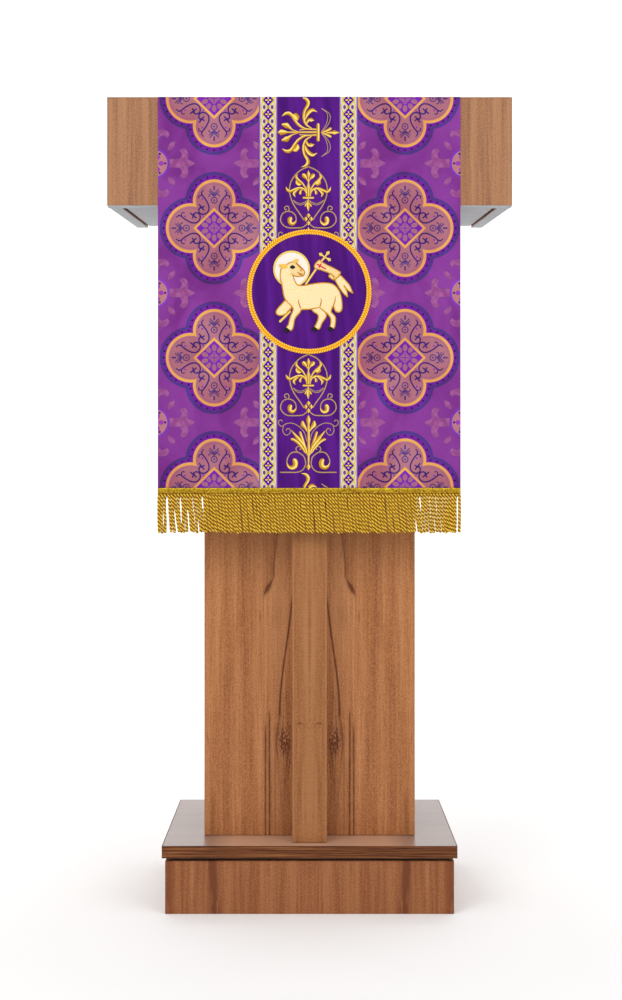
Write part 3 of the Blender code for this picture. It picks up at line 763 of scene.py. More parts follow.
def add_quatrefoils(g, x, y, colour, shade):
    """Four-lobed medallions: dark band, dotted ring, orange outline, scrolls and a diamond."""
    wide, tall = abs(x), abs(y)
    a, b = wide.high(tall), wide.low(tall)

    # Each coat's lighter and darker colours follow the cloth's patches, which are partly painted shade of its
    # folds
    def shaded(dark, light):
        return g.mix(shade, dark, light)

    side_a, side_b = ring_of(g, wide - SIDE_LOBE, tall, 25.2)
    top_a, top_b = ring_of(g, tall - TOP_LOBE, wide, 22.0)
    side_dots = disc(g, side_a, side_b, (39.6, 0), 1.5).high(34.0 - g.length(wide, tall - TOP_LOBE))
    top_dots = disc(g, top_a, top_b, (35.3, 0), 1.5).high(38.0 - g.length(wide - SIDE_LOBE, tall))
    outline = quatrefoil(g, wide, tall, 36.4, 31.2)
    dash = segment(g, wide, tall, (14.4, 15.6), (17.4, 19.0))
    diamond = wide + tall * 1.03
    out_a, out_b = ring_of(g, x, y, 10, math.radians(18))
    petal = (g.length((out_a - 14.3) / 5.0, out_b / 3.4) - 1.0) * 3.4
    cross = wide.low(tall) - 0.9
    orange = shaded(ORANGE_DARK, ORANGE_LIGHT)
    return g.layers(
        colour,
        (inside(quatrefoil(g, wide, tall, 45.4, 42.3), 0.4), shaded(rgb(72, 34, 98), rgb(84, 58, 140))),
        (inside(quatrefoil(g, wide, tall, 40.9, 37.4), 0.4), shaded(rgb(104, 18, 138), rgb(126, 30, 158))),
        (inside(side_dots.low(top_dots)), rgb(26, 16, 66)),
        (inside(outline), orange),
        (inside(outline + 4.1), shaded(MAUVE_DARK, MAUVE_LIGHT)),
        (drawn(outline + 6.9, 0.4) * 0.5, rgb(140, 60, 130)),
        (drawn(scrolls(g, a, b), 1.05), shaded(rgb(48, 16, 92), rgb(62, 36, 120))),
        (drawn(palmette(g, a, b), 0.8), shaded(rgb(74, 40, 98), rgb(84, 62, 130))),
        (inside(disc(g, a, b, (42.6, 17.2), 1.4)), rgb(138, 44, 168)),
        (drawn(dash, 0.8) * 0.9, rgb(138, 44, 152)),
        (inside(diamond - 30.8), orange),
        (inside(diamond - 26.0), shaded(rgb(112, 22, 156), rgb(134, 38, 176))),
        (inside(petal.high(diamond - 24.6)), rgb(166, 102, 124)),
        (inside(diamond - 9.0), rgb(166, 104, 122)),
        (drawn(diamond - 7.2, 0.5), rgb(134, 44, 168)),
        (inside(cross.high(diamond - 5.6)) * 0.85, rgb(128, 36, 164)),
    )


def weave(g, u, v, pitch):
    """The threads' relief: u and v in mm, pitch in threads per mm."""
    warp = g.math("SINE", u * (math.tau * pitch))
    weft = g.math("SINE", v * (math.tau * pitch))
    return warp * weft * 0.25 + 0.5 + (g.noise(u * 2.5, v * 0.6, detail=2.0) - 0.5) * 0.7


def brocade():
    g = Graph("brocade")
    u, v = g.flat_mm()
    wide = abs(u)
    # Soft lighter and darker patches over the cloth: partly the silk's own uneven tone, partly painted shade
    # of its folds. The motifs' paired colours follow them too
    shade = g.noise(u * 0.013, v * 0.009, 2.0, detail=3.0, distortion=0.6).fade(0.30, 0.70)
    fine = g.noise(u * 0.9, v * 0.25, 5.0, detail=3.0)
    colour = g.mix(shade * 0.8 + fine * 0.2, GROUND_DARK, GROUND_LIGHT)
    for add_figure, (middle, height) in ((add_rosettes, (228.0, 1102.7)), (add_quatrefoils, (140.0, 1197.7))):
        x, y = (wide - middle).wrapped(REPEAT_ACROSS), (v - height).wrapped(REPEAT_UP)
        colour = add_figure(g, x, y, colour, shade)
    colour = g.vectors("MULTIPLY", g.brighten(colour, fine * 0.3 + 0.85), DYE)
    return g.finish(
        colour,
        weave(g, u, v, 1.6),
        0.00008,
        roughness=0.6,
        specular_ior_level=0.12,
        sheen_weight=0.03,
        sheen_roughness=0.4,
        sheen_tint=rgb(235, 190, 240),
    )


BRAID_REPEAT = 20.79


def galloon():
    """Woven braid: violet diamonds in a yellow lattice on white, with scalloped yellow edges."""
    g = Graph("galloon")
    u, v = g.flat_mm()
    spans = [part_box(f"{side}_galloon") for side in ("left", "right")]
    left, right = (500 * (low.x + high.x) for low, high in spans)
    # Each braid is in two lengths, joined under the medallion
    above = v.fade(910.0, 911.0)
    x = abs(abs(u - (left + right) / 2) - (right - left) / 2)
    y = (v - 721.7 - above * 390.7).wrapped(BRAID_REPEAT)
    tall = abs(y)
    below = BRAID_REPEAT / 2 - tall
    fine = g.noise(u * 1.8, v * 1.8, 3.0, detail=2.0)
    lattice = (x / 7.8 + tall / 9.2 - 1.0) * 5.5
    scallop = x - 9.1 + g.math("COSINE", y * (math.tau / BRAID_REPEAT)) * 1.2
    side_petals = g.length((x - 2.5) / 2.0, tall / 1.0) - 1.0
    end_petals = g.length(x / 1.0, (tall - 3.2) / 1.3) - 1.0
    bud = g.length((x - 5.8) / 2.1, below / 3.1) - 1.0
    colour = g.layers(
        g.mix(fine, rgb(200, 198, 172), rgb(232, 228, 206)),
        (drawn(scallop, 0.75), g.mix(fine, rgb(200, 164, 0), rgb(228, 194, 0))),
        (drawn(lattice - 0.80, 0.80), g.mix(fine, rgb(204, 166, 0), rgb(234, 202, 0))),
        (inside((x + below * 0.9) - 2.4, 0.4), rgb(178, 152, 14)),
        (inside(lattice), g.mix(below.fade(4.0, 9.0), rgb(76, 0, 184), rgb(76, 0, 156))),
        (inside(side_petals.low(end_petals)), rgb(252, 222, 0)),
        (inside(g.length(x, tall) - 1.0, 0.4), rgb(146, 92, 60)),
        (inside(bud * 1.5, 0.4), rgb(84, 16, 150)),
        (inside(g.length((x - 5.8) / 1.0, below / 1.5) - 1.0), rgb(146, 76, 56)),
        (x.fade(11.0, 11.6), rgb(158, 124, 204)),
        (x.fade(12.5, 12.9), rgb(104, 72, 128)),
    )
    return g.finish(
        g.brighten(colour, fine * 0.14 + 0.90),
        weave(g, u, v, 1.2),
        0.00012,
        roughness=0.7,
        specular_ior_level=0.0,
    )


def satin():
    """The orphrey's deep violet satin, with soft upright painted highlights in it where its folds would catch
    the light.
    """
    g = Graph("satin")
    u, v = g.flat_mm()
    folds = g.noise(u * 0.055 + v * 0.004, v * 0.006, 7.0, detail=2.0, distortion=0.3)
    fine = g.noise(u * 2.4, v * 0.3, 1.0, detail=2.0)
    # Painted highlight: lighter upright streaks along the satin's soft folds
    colour = g.mix(folds.fade(0.35, 0.68), rgb(66, 2, 106), rgb(86, 18, 130))
    colour = g.brighten(colour, fine * 0.16 + 0.92)
    return g.finish(
        colour,
        weave(g, u, v, 1.8),
        0.00004,
        roughness=0.45,
        specular_ior_level=0.12,
        sheen_weight=0.02,
        sheen_roughness=0.35,
        sheen_tint=rgb(210, 170, 250),
    )


def plain_lining():
    g = Graph("lining")
    u, v = g.flat_mm()
    cloud = g.noise(u * 0.05, v * 0.05, 1.0, detail=3.0)
    colour = g.mix(cloud, rgb(70, 26, 92), rgb(92, 42, 116))
    return g.finish(colour, weave(g, u, v, 1.5), 0.0001, roughness=0.75, specular_ior_level=0.25)


SATIN = satin()


def lay_strips():
    """The cloth and the strips sewn on it. Each strip is as wide as its CAD node."""
    braid = galloon()
    strips = {
        "fall_lining": ("lining", LINING, plain_lining()),
        "fall_brocade": ("brocade", BROCADE, brocade()),
        "orphrey_panel": ("orphrey", TRIM, SATIN),
        "left_galloon": ("galloon", TRIM, braid),
        "right_galloon": ("galloon", TRIM, braid),
    }
    for node, (slot, layer, material) in strips.items():
        left, right = (corner.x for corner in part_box(node))
        if slot in ("lining", "brocade"):
            left, right = CLOTH_LEFT, CLOTH_RIGHT
        add_strip(f"{node}_cloth", left, right, layer, material, slot, (node,))


lay_strips()


# ---------------------------------------------------------------- needlework on the strip


STRIP_MIDDLE = (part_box("orphrey_panel")[0].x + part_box("orphrey_panel")[1].x) / 2
MEDALLION = (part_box("medallion_cord")[0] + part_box("medallion_cord")[1]) / 2
MEDALLION_RADIUS = (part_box("medallion_cord")[1].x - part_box("medallion_cord")[0].x) / 2
CORD_WIDTH = 0.0078
HEADING_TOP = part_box("front_fringe_heading")[1].z


def smooth_line(points, step=0.8, closed=False):
    """A curve through the points (mm), and how far along the points each of its samples lies."""
    points = np.array(points, float)
    count = len(points)
    if closed:
        padded = np.concatenate((points[-1:], points, points[:2]))
    else:
        first, last = 2 * points[0] - points[1], 2 * points[-1] - points[-2]
        padded = np.concatenate(([first], points, [last]))
    samples, places = [], []
    for i in range(count if closed else count - 1):
        before, start, end, after = padded[i : i + 4]
        steps = max(2, math.ceil(np.linalg.norm(end - start) / step))
        for k in range(steps):
            t = k / steps
            square = (2 * before - 5 * start + 4 * end - after) * t**2
            cube = (3 * start - before - 3 * end + after) * t**3
            samples.append(0.5 * (2 * start + (end - before) * t + square + cube))
            places.append(i + t)
    if not closed:
        samples.append(points[-1])
        places.append(count - 1)
    return np.array(samples), np.array(places)


def beside_medallion(u, v):
    """True where the strip isn't covered by the medallion or past a hem."""
    clear = np.hypot(u - MEDALLION.x, v - MEDALLION.z) > MEDALLION_RADIUS - 0.002
    off_edge = abs(v - TOP - 0.004) > 0.0055
    return clear & off_edge & (v > HEADING_TOP) & (v < FALL_TOP - 0.010)


TALLEST_STROKE = 1.7


class Sewing:
    """Raised strokes and padded patches, drawn in mm from where the motif is pinned to the cloth."""

    def __init__(self, base, keep=None):
        self.base, self.keep = base, keep
        self.vertices, self.faces, self.stitch = [], [], []
        self.count = 0
        self.pin(0.0, 0.0)

    def pin(self, u, v, turned=False):
        self.pinned, self.turned = (u, v), turned

    def on_cloth(self, points):
        points = np.asarray(points, float) * MM
        if self.turned:
            points = np.stack((-points[:, 1], points[:, 0]), axis=-1)
        return points + self.pinned

    def add(self, places, heights, faces, stitch):
        self.vertices.append(lay(places[:, 0], places[:, 1], heights + self.base))
        self.stitch.append(stitch)
        self.faces += [tuple(i + self.count for i in face) for face in faces]
        self.count += len(places)

    def stroke(self, points, widths, rise=0.55, sides=7, closed=False):
        """A raised line of satin stitch: half widths in mm, as high as rise times the half width."""
        line, places = smooth_line(points, closed=closed)
        if len(widths) == 1:
            widths = list(widths) * len(points)
        half = np.interp(places, range(len(widths)), widths)
        run = np.concatenate(([0], np.cumsum(np.linalg.norm(np.diff(line, axis=0), axis=1))))
        if not closed:
            left = np.minimum(run, run[-1] - run)
            left = np.minimum(left / np.maximum(half, 0.1), 1)
            half = half * np.sqrt(np.clip(1 - (1 - left) ** 2, 0.02, 1))
        ahead = np.roll(line, -1, axis=0) - np.roll(line, 1, axis=0)
        if not closed:
            ahead[0], ahead[-1] = line[1] - line[0], line[-1] - line[-2]
        ahead /= np.maximum(np.linalg.norm(ahead, axis=1, keepdims=True), 1e-9)
        beside = np.stack((-ahead[:, 1], ahead[:, 0]), axis=-1)
        kept = self.keep(*self.on_cloth(line).T) if self.keep else np.ones(len(line), bool)
        for rows in np.split(np.arange(len(line)), np.flatnonzero(np.diff(kept.astype(int))) + 1):
            if kept[rows[0]] and len(rows) > 2:
                whole = closed and len(rows) == len(line)
                self.sweep(line[rows], beside[rows], half[rows], run[rows], rise, sides, whole)

    def sweep(self, line, beside, half, run, rise, sides, closed):
        """A half-round ridge along the line."""
        angles = np.linspace(0, math.pi, sides)
        across, up = np.cos(angles), np.sin(angles)
        places = line[:, None] + beside[:, None] * (half[:, None] * across)[..., None]
        heights = np.minimum(half * rise, TALLEST_STROKE)[:, None] * up * MM
        rows, faces = len(line), []
        for row in range(rows if closed else rows - 1):
            following = (row + 1) % rows
            for i in range(sides):
                j = (i + 1) % sides
                lower, upper = row * sides, following * sides
                faces.append((lower + i, lower + j, upper + j, upper + i))
        if not closed:
            faces.append(tuple(reversed(range(sides))))
            faces.append(tuple((rows - 1) * sides + i for i in range(sides)))
        stitch = np.stack(np.broadcast_arrays(run[:, None], across[None]), axis=-1).reshape(-1, 2)
        self.add(self.on_cloth(places.reshape(-1, 2)), heights.reshape(-1), faces, stitch)

    def pair(self, points, widths, **more):
        """A stroke and its mirror image."""
        self.stroke(points, widths, **more)
        self.stroke([(-x, y) for x, y in points], widths, **more)

    def diamond(self, x, y, half):
        self.stroke([(x, y - half), (x, y), (x, y + half)], [0.1, half * 0.95, 0.1], rise=0.4)

    def patch(self, outline, thickness, edge=2.0, spacing=1.6, curved=True):
        """A padded patch: flat inside, and rounded off over the edge's width."""
        rim = smooth_line(outline, 1.2, closed=True)[0] if curved else np.array(outline, float)
        ahead = np.roll(rim, -1, axis=0)
        low, high = rim.min(axis=0), rim.max(axis=0)
        xs, ys = (np.arange(low[k] + spacing / 2, high[k], spacing) for k in (0, 1))
        grid = np.stack(np.meshgrid(xs, ys), axis=-1).reshape(-1, 2)

        def depth(points):
            along = ahead - rim
            share = ((points[:, None] - rim) * along).sum(-1) / np.maximum((along**2).sum(-1), 1e-9)
            foot = rim + along * np.clip(share, 0, 1)[..., None]
            return np.linalg.norm(points[:, None] - foot, axis=-1).min(axis=1)

        # A grid point is inside when a line to its right crosses the rim an odd number of times
        above = (rim[:, 1] <= grid[:, None, 1]) != (ahead[:, 1] <= grid[:, None, 1])
        step = ahead - rim
        slope = step[:, 0] / np.where(step[:, 1] == 0, 1, step[:, 1])
        crossing = rim[:, 0] + (grid[:, None, 1] - rim[:, 1]) * slope
        grid = grid[(above & (grid[:, None, 0] < crossing)).sum(axis=1) % 2 == 1]
        grid = grid[depth(grid) > spacing * 0.35] if len(grid) else grid
        points = [Vector(point) for point in (*rim, *grid)]
        edges = [(i, (i + 1) % len(rim)) for i in range(len(rim))]
        flat, faces = delaunay_2d_cdt(points, edges, [], 1, 1e-4)[0:3:2]
        flat = np.array([tuple(point) for point in flat])
        deep = np.clip(depth(flat) / edge, 0, 1)
        top = np.sqrt(1 - (1 - deep) ** 2) * thickness * 0.8 + thickness * 0.2
        count = len(flat)
        sides = [(a, b) for face in faces for a, b in zip(face, face[1:] + face[:1])]
        border = dict.fromkeys(sides)
        solid = [tuple(i for i in face) for face in faces]
        solid += [tuple(i + count for i in reversed(face)) for face in faces]
        for a, b in border:
            if (b, a) not in border:
                solid.append((b, a, a + count, b + count))
        heights = np.concatenate((top, np.zeros(count))) * MM
        both = np.concatenate((flat, flat))
        self.add(self.on_cloth(both), heights, solid, both)

    def finish(self, name, material, slot=None, replaces=()):
        vertices, stitch = np.concatenate(self.vertices), np.concatenate(self.stitch)
        return add_piece(name, vertices, self.faces, stitch, material, slot, replaces, angle=50)


def sew_fleuron(gold, thin):
    """A flowering stem with scrolled leaves, growing out of a bar."""
    gold.pair([(4.0, -1), (4.3, 8), (4.4, 18), (3.4, 28)], [1.4, 1.4, 1.2, 0.6])
    gold.stroke([(0, -2), (0, 20), (0, 46)], [1.7, 1.5, 1.3])
    gold.stroke([(0, 43.5), (0, 48.5), (0, 54.4), (0, 59.5)], [1.0, 3.2, 4.8, 0.2])
    gold.pair([(1.0, 29), (3.4, 37), (7, 42), (10, 46.5), (11.8, 53.6)], [0.6, 1.0, 2.4, 4.6, 1.2])
    upper = [(4.7, 10), (5.4, 19.2), (10.5, 28), (17.5, 33.9), (24.6, 38.4), (27.8, 42.9)]
    gold.pair(upper + [(27.1, 48), (23.7, 53)], [0.8, 1.6, 2.1, 2.2, 2.5, 3.0, 2.3, 0.2])
    gold.pair([(26.4, 37), (24.8, 33.6), (21.4, 31), (17.4, 29.8)], [2.2, 4.4, 4.6, 1.6])
    outer = [(5.4, 9), (11.1, 17.3), (17.5, 20.5), (25.2, 21.1), (32.9, 19.2), (39.3, 15.4)]
    outer += [(44.4, 14.7), (48.9, 17.9), (50.9, 24.8)]
    gold.pair(outer, [1.0, 1.7, 1.9, 2.1, 2.3, 2.6, 3.0, 2.4, 0.2])
    leaf = [(18.5, 19.2), (25.2, 16.6), (30.3, 12.8), (32.9, 7.7), (30.1, 1.0)]
    gold.pair(leaf, [1.0, 2.5, 3.1, 2.8, 0.2])
    small_leaf = [(10.5, 17.3), (15, 16.2), (18.4, 13.5), (18.4, 9.6), (17.6, 5.4)]
    gold.pair(small_leaf, [0.9, 1.6, 2.4, 3.3, 0.3])
    gold.stroke([(-13.4, 0), (13.6, 0)], [2.5])
    gold.pair([(0, -4.5), (1.6, -9.5), (3.6, -14.5), (6.6, -19.8)], [0.5, 1.6, 2.0, 2.4])
    gold.stroke([(0, -12), (0, -19), (0, -24.5), (0, -31.6)], [1.2, 1.8, 3.5, 0.2])
    thin.pair([(0.5, -4.8), (8.5, -12.8), (18.8, -17.8), (28, -16.2), (35.6, -4.8)], [0.5])
    thin.pair([(0.5, -4.8), (11, -11.5), (21.4, -14.2), (29, -12.6), (35.6, -4.8)], [0.5])


def sew_pear(gold, thin):
    """A pear-shaped loop round a small flower, over four diamonds, with a spiral on each side."""
    loop = [(0, 76.8), (11.3, 71.6), (19.6, 64), (25.3, 55), (27.7, 44.8), (26.9, 35.8), (24, 26.2)]
    thin.pair(loop + [(18.9, 16.6), (12.5, 7.7), (6.1, -1.9)], [0.9])
    gold.pair([(2.6, 33), (2.5, 42), (1.2, 51)], [1.1, 1.0, 0.4])
    gold.stroke([(0, 32.5), (0, 45), (0, 60)], [1.7, 1.4, 1.2])
    gold.stroke([(0, 59), (0, 63), (0, 66), (0, 71.4)], [1.0, 2.1, 3.0, 0.2])
    gold.pair([(0.8, 55), (2.8, 59), (5.2, 62), (8.8, 66)], [0.5, 1.2, 3.2, 3.4])
    leaf = [(2.0, 38), (4.9, 46), (9.3, 52.6), (13.8, 56.4), (17, 59.5), (18, 62.5), (15.6, 66.4)]
    gold.pair(leaf, [0.7, 1.3, 1.6, 1.8, 2.3, 2.0, 0.2])
    gold.pair([(17.5, 57), (16, 53), (13, 51.2), (10.2, 51)], [1.2, 3.0, 3.0, 0.5])
    long_leaf = [(2.3, 34.5), (4.9, 41.6), (10, 45), (16.4, 44.7), (22.8, 42), (27.3, 40.2)]
    gold.pair(long_leaf + [(31, 42.8), (33.1, 47.6)], [0.8, 1.4, 1.8, 1.8, 1.8, 2.1, 2.1, 0.2])
    gold.pair([(13, 44.5), (17.7, 41.2), (20.9, 37.1), (19, 32.2)], [0.8, 1.8, 2.4, 0.3])
    gold.pair([(7.5, 44), (10.6, 41.4), (11.6, 38.6), (11.2, 35.8)], [0.7, 1.5, 2.2, 2.2])
    gold.stroke([(-8.6, 31.3), (8.6, 31.3)], [1.7])
    thin.pair([(0.4, 28), (5.5, 22.8), (12, 20.6), (18.3, 23), (22.6, 28)], [0.5])
    thin.pair([(0.4, 28), (6, 24.6), (12, 22.8), (18, 24.8), (22.6, 28)], [0.45])
    gold.stroke([(0, 29.8), (0, 24.5), (0, 18), (0, 11.2)], [0.8, 1.5, 2.9, 0.2])
    gold.pair([(0.6, 25), (2.8, 21.6), (4.9, 18.2)], [0.7, 1.6, 1.3])
    for x, y in ((0, 5.1), (-3.9, 0), (3.9, 0), (0, -5.8)):
        gold.diamond(x, y, 3.7)
    spiral = [(0.6, -6.2), (4, -9.2), (8.1, -12), (14, -12.9), (27.5, -12.9), (34, -11), (39.2, -6)]
    spiral += [(40.8, -0.6), (39, 6), (34.5, 10.2), (29, 11.3), (23.2, 9.6), (19, 5), (17.6, -1)]
    thin.pair(spiral, [0.85])
    comma = [(17.6, -0.5), (18.9, -4.6), (22.8, -7.4), (26.8, -5.4), (27.2, -0.8), (25.0, 3.2)]
    gold.pair(comma, [0.4, 1.6, 2.5, 3.2, 3.7, 3.2])
    curl = [(29.6, 11.2), (28.3, 14.6), (29.6, 18.3), (32.6, 18.8), (35, 16.4), (33.8, 13.6)]
    thin.pair(curl + [(31.4, 14.4)], [0.75])


def sew_palmette(gold, thin):
    """A bud on a stem between pointed leaves, over two spirals that stand on a line."""
    gold.stroke([(0, 12), (0.3, 40), (0, 70)], [1.3, 2.3, 2.0])
    gold.stroke([(0, 68.5), (0, 74), (0, 78), (0, 84.2)], [1.6, 3.1, 3.5, 0.2])
    gold.pair([(1.4, 59), (5.0, 65.6), (8.0, 69.6), (8.6, 75.6)], [0.7, 2.4, 4.0, 1.4])
    gold.pair([(1.2, 24.5), (6.1, 37.9), (15.3, 49.7), (25.2, 61.6)], [1.0, 2.6, 3.1, 0.3])
    gold.pair([(2.8, 30), (8.1, 45.8), (12.7, 60)], [1.6, 2.3, 2.0])
    gold.pair([(3.4, 27.5), (12.7, 40.5), (20.5, 47.1), (25.8, 48.8)], [1.4, 2.3, 2.2, 2.0])
    scroll = [(2, 44.5), (5.6, 57.5), (13.3, 66.7), (23.1, 71.9), (32.3, 71.3), (38.8, 67.6)]
    thin.pair(scroll + [(43.2, 70.6), (43.3, 75.4), (39.7, 76.8), (38.0, 74.0)], [0.6])
    second = [(36.4, 68.2), (37.6, 61.5), (34.9, 55.8), (30.3, 54.9), (26.4, 58.9), (27.7, 63.8)]
    thin.pair(second + [(31.5, 63.6), (32.6, 60.6)], [0.6])
    spiral = [(41.8, 0), (30, 0), (16.5, 0.1), (8.8, 3.3), (4.4, 10.5), (4.3, 16), (6.8, 23.2)]
    thin.pair(spiral + [(15.3, 29.2), (24.5, 28.6), (30.2, 21.4), (31.7, 13.4)], [0.85])
    comma = [(31.6, 15.2), (29.6, 9.6), (25, 6.8), (20, 9), (19.2, 14.8), (22, 20)]
    gold.pair(comma, [0.5, 1.8, 3.1, 3.9, 4.1, 3.2])
    thin.pair([(15.3, 29.2), (18.2, 33.4), (16.8, 37.2), (13, 37.8), (10.9, 35), (13.2, 33)], [0.7])
    gold.stroke([(0, 3.0), (0, 7.6), (0, 12.8)], [0.1, 3.5, 0.8], rise=0.4)


def gold_thread():
    """Satin stitch in gold with its light and shade painted on: a painted highlight with glints along one
    side of a stroke, painted shade on the other side, a fainter painted light near that side's edge, and
    brown painted shade at its edges.
    """
    g = Graph("gold_thread")
    along, across = g.flat()
    threads = g.noise(along * 1.9, across * 0.8, 3.0, detail=2.0)
    glint = g.noise(along * 0.11, across * 0.15, 6.0, detail=1.0)
    # Painted light and shade across each stroke: highlight and glints on one side, shade on the other, brown
    # shade at the edges
    colour = g.layers(
        g.mix(across.fade(-0.25, 0.55), rgb(242, 188, 40), rgb(168, 100, 0)),
        (across.bell(-0.34, 0.32) * glint.fade(0.30, 0.60, 0.5, 1.0), rgb(255, 238, 140)),
        (across.bell(0.62, 0.14) * 0.55, rgb(246, 196, 60)),
        (abs(across).fade(0.78, 1.0), rgb(140, 78, 0)),
    )
    colour = g.brighten(colour, threads * 0.5 + 0.74)
    relief = g.math("SINE", along * 11.0 + across * 1.5)
    return g.finish(colour, relief, 0.00005, roughness=0.45, specular_ior_level=0.15)


def thin_gold():
    g = Graph("thin_gold")
    along, across = g.flat()
    threads = g.noise(along * 1.6, across, 8.0, detail=2.0)
    colour = g.mix(threads.fade(0.3, 0.7), rgb(156, 116, 70), rgb(204, 174, 104))
    return g.finish(colour, g.math("SINE", along * 9.0), 0.00005, **SOFT_SHINE)


MOTIF_REPEAT = 0.2754
FLEURON_SHIFT = 0.01415  # the fleuron lies on its side, with its bar to the right


def sew_strip():
    """The strip's three motifs follow each other from hem to hem, but no fleuron crosses the medallion."""
    gold, thin = (Sewing(TRIM[1], beside_medallion) for _ in range(2))
    for turn in range(-1, 5):
        for sew, place in ((sew_fleuron, 0.8726), (sew_pear, 0.7456), (sew_palmette, 0.6495)):
            turned = sew is sew_fleuron
            if turned and turn == 0:
                continue
            middle = STRIP_MIDDLE + FLEURON_SHIFT * turned
            for sewing in (gold, thin):
                sewing.pin(middle, place + turn * MOTIF_REPEAT, turned)
            sew(gold, thin)
    gold.finish("strip_gold_needlework", gold_thread(), "gold_thread")
    thin.finish("strip_thin_needlework", thin_gold(), "gold_thread")


sew_strip()


# ---------------------------------------------------------------- the medallion and its lamb


# Outlines in mm from the medallion's middle
HALO = ((-25.8, 33.0), 25.7)
LAMB = [
    (-41.2, 32.5), (-38.5, 36), (-33.4, 39), (-29, 42), (-24, 43.2), (-19.6, 42.2), (-16.4, 39.5),
    (-12.4, 35.6), (-8.4, 31.4), (-6.9, 27.6), (-8.4, 23.6), (-12.5, 22.6), (-17, 22.2), (-22.6, 23.2),
    (-23.4, 21.5), (-21.8, 17), (-19.4, 12), (-16.6, 9.2), (-13, 8.4), (-7.6, 8.6), (0, 10),
    (9.9, 11.7), (18.5, 12.6), (27.2, 12.4), (34, 10.9), (39.2, 7), (43.5, 1.2), (46.5, -6.8),
    (48, -16.6), (48.1, -23.6), (46.6, -28.4), (42.8, -30.2), (38.8, -28.6), (36.9, -25), (35.4, -20.5),
    (33, -25.6), (32.2, -30), (36, -34.2), (38.4, -38.3), (38.2, -45.2), (37, -52.2), (33.8, -54.2),
    (31, -52.2), (31.8, -46), (31.4, -39), (27.2, -33), (21, -28.4), (15.8, -23.9), (9.8, -24.4),
    (1.2, -25.8), (-5.8, -26.2), (-11.2, -26.8), (-14.2, -31.3), (-18.6, -36), (-21.6, -41.4),
    (-23, -49.5), (-24.8, -55.2), (-28.4, -57.2), (-33.2, -53.4), (-30.4, -48.6), (-28.9, -42.6),
    (-27, -35.7), (-24.2, -29.6), (-23.5, -25), (-26.6, -20.6), (-31.2, -16), (-35, -11.2),
    (-37.4, -4.4), (-38.6, 3.2), (-40, 11), (-41.8, 18), (-42.2, 25),
]  # fmt: skip
FAR_HIND_LEG = [
    (3.8, -24), (6.4, -29.6), (11.6, -33), (13.5, -36.8), (12.4, -42.6), (9.8, -48.7), (8.4, -52.2),
    (12.5, -55.4), (15.9, -53.4), (18.4, -47), (22, -41.6), (25, -36.6), (24, -31), (15.9, -22),
]  # fmt: skip
RAISED_FORELEG = [
    (-34, -12.6), (-40.4, -18.6), (-46.2, -25.2), (-48.6, -30.4), (-46.2, -34), (-41.2, -35),
    (-35.2, -33.2), (-29.2, -28.2), (-25.2, -22), (-28, -14),
]  # fmt: skip
HOOVES = (
    [(-37, -55), (-34, -52.6), (-28.4, -56.6), (-30.3, -59.8), (-36, -58.8)],
    [(2.9, -54.8), (6.2, -51.8), (12.2, -55.4), (9.9, -58.2), (4.3, -57.4)],
    [(27.4, -55.2), (29.8, -51.8), (34.4, -53.2), (34.8, -56.4), (30.7, -57.8), (28.2, -57.2)],
)
LONG_EAR = [(-45, 39.4), (-39, 39.8), (-33.5, 39.6), (-31.1, 35.2), (-35.6, 33), (-40.4, 34)]
RAISED_EAR = [(-24.4, 42.6), (-22, 46), (-16.5, 47.6), (-16.2, 45), (-18.6, 42.2), (-21.4, 40.6)]
BANNER = [
    (15.4, 46.8), (17.2, 43.8), (27.2, 38.4), (37.6, 33.4), (46.6, 28), (38, 16.6), (33.2, 25.2),
    (27.2, 28.2), (16.8, 31.8), (9, 33.6), (7.2, 36.8), (9.5, 41.8),
]  # fmt: skip
BANNER_FOLD = [(32.4, 25.6), (30.8, 26.2), (28.2, 22.2), (33.3, 18.2), (37.8, 16.6), (40, 20)]
BANNER_TAILS = [
    (37.9, 16.8), (45.4, 24.4), (53.2, 16.4), (59.2, 9.4), (61.8, 3.4), (64.3, -2.6), (56.8, 1.6),
    (50.6, 9.4), (55.3, 0.6), (56.6, -8.4), (50.6, -3.2), (44.5, 5),
]  # fmt: skip


def wool():
    """Cream thread laid in short mixed stitches, with gold ones among them, most of all on the face."""
    g = Graph("cream_wool")
    x, y = g.flat()
    mottled = g.noise(x * 0.55, y * 0.55, 2.0, detail=4.0, roughness=0.9)
    colour = g.mix(mottled.fade(0.38, 0.62), rgb(238, 206, 104), rgb(249, 230, 208))
    face = x.fade(-31.0, -25.0) * y.fade(20.0, 25.0)
    colour = g.mix(face * 0.4, colour, rgb(226, 180, 96))
    return g.finish(colour, mottled, 0.00015, roughness=0.7, specular_ior_level=0.15)


def thread(name, first, second):
    """Plain thread of two mixed shades."""
    g = Graph(name)
    along, across = g.flat()
    threads = g.noise(along * 1.5, across * 1.5, 4.0, detail=2.0)
    colour = g.mix(threads.fade(0.3, 0.7), first, second)
    return g.finish(colour, threads, 0.0001, roughness=0.6, specular_ior_level=0.1)


def circle(middle, radius, count=40):
    x, y = middle
    turns = (math.tau * i / count for i in range(count))
    return [(x + radius * math.cos(turn), y + radius * math.sin(turn)) for turn in turns]


MEDALLION_SHIFT = -0.0006  # it is sewn on a little to the left
PATCH_BASE = TRIM[1] + 0.0006  # the outer face of the medallion's own ground


def pinned(height):
    sewing = Sewing(PATCH_BASE + height * MM)
    sewing.pin(MEDALLION.x + MEDALLION_SHIFT, MEDALLION.z)
    return sewing


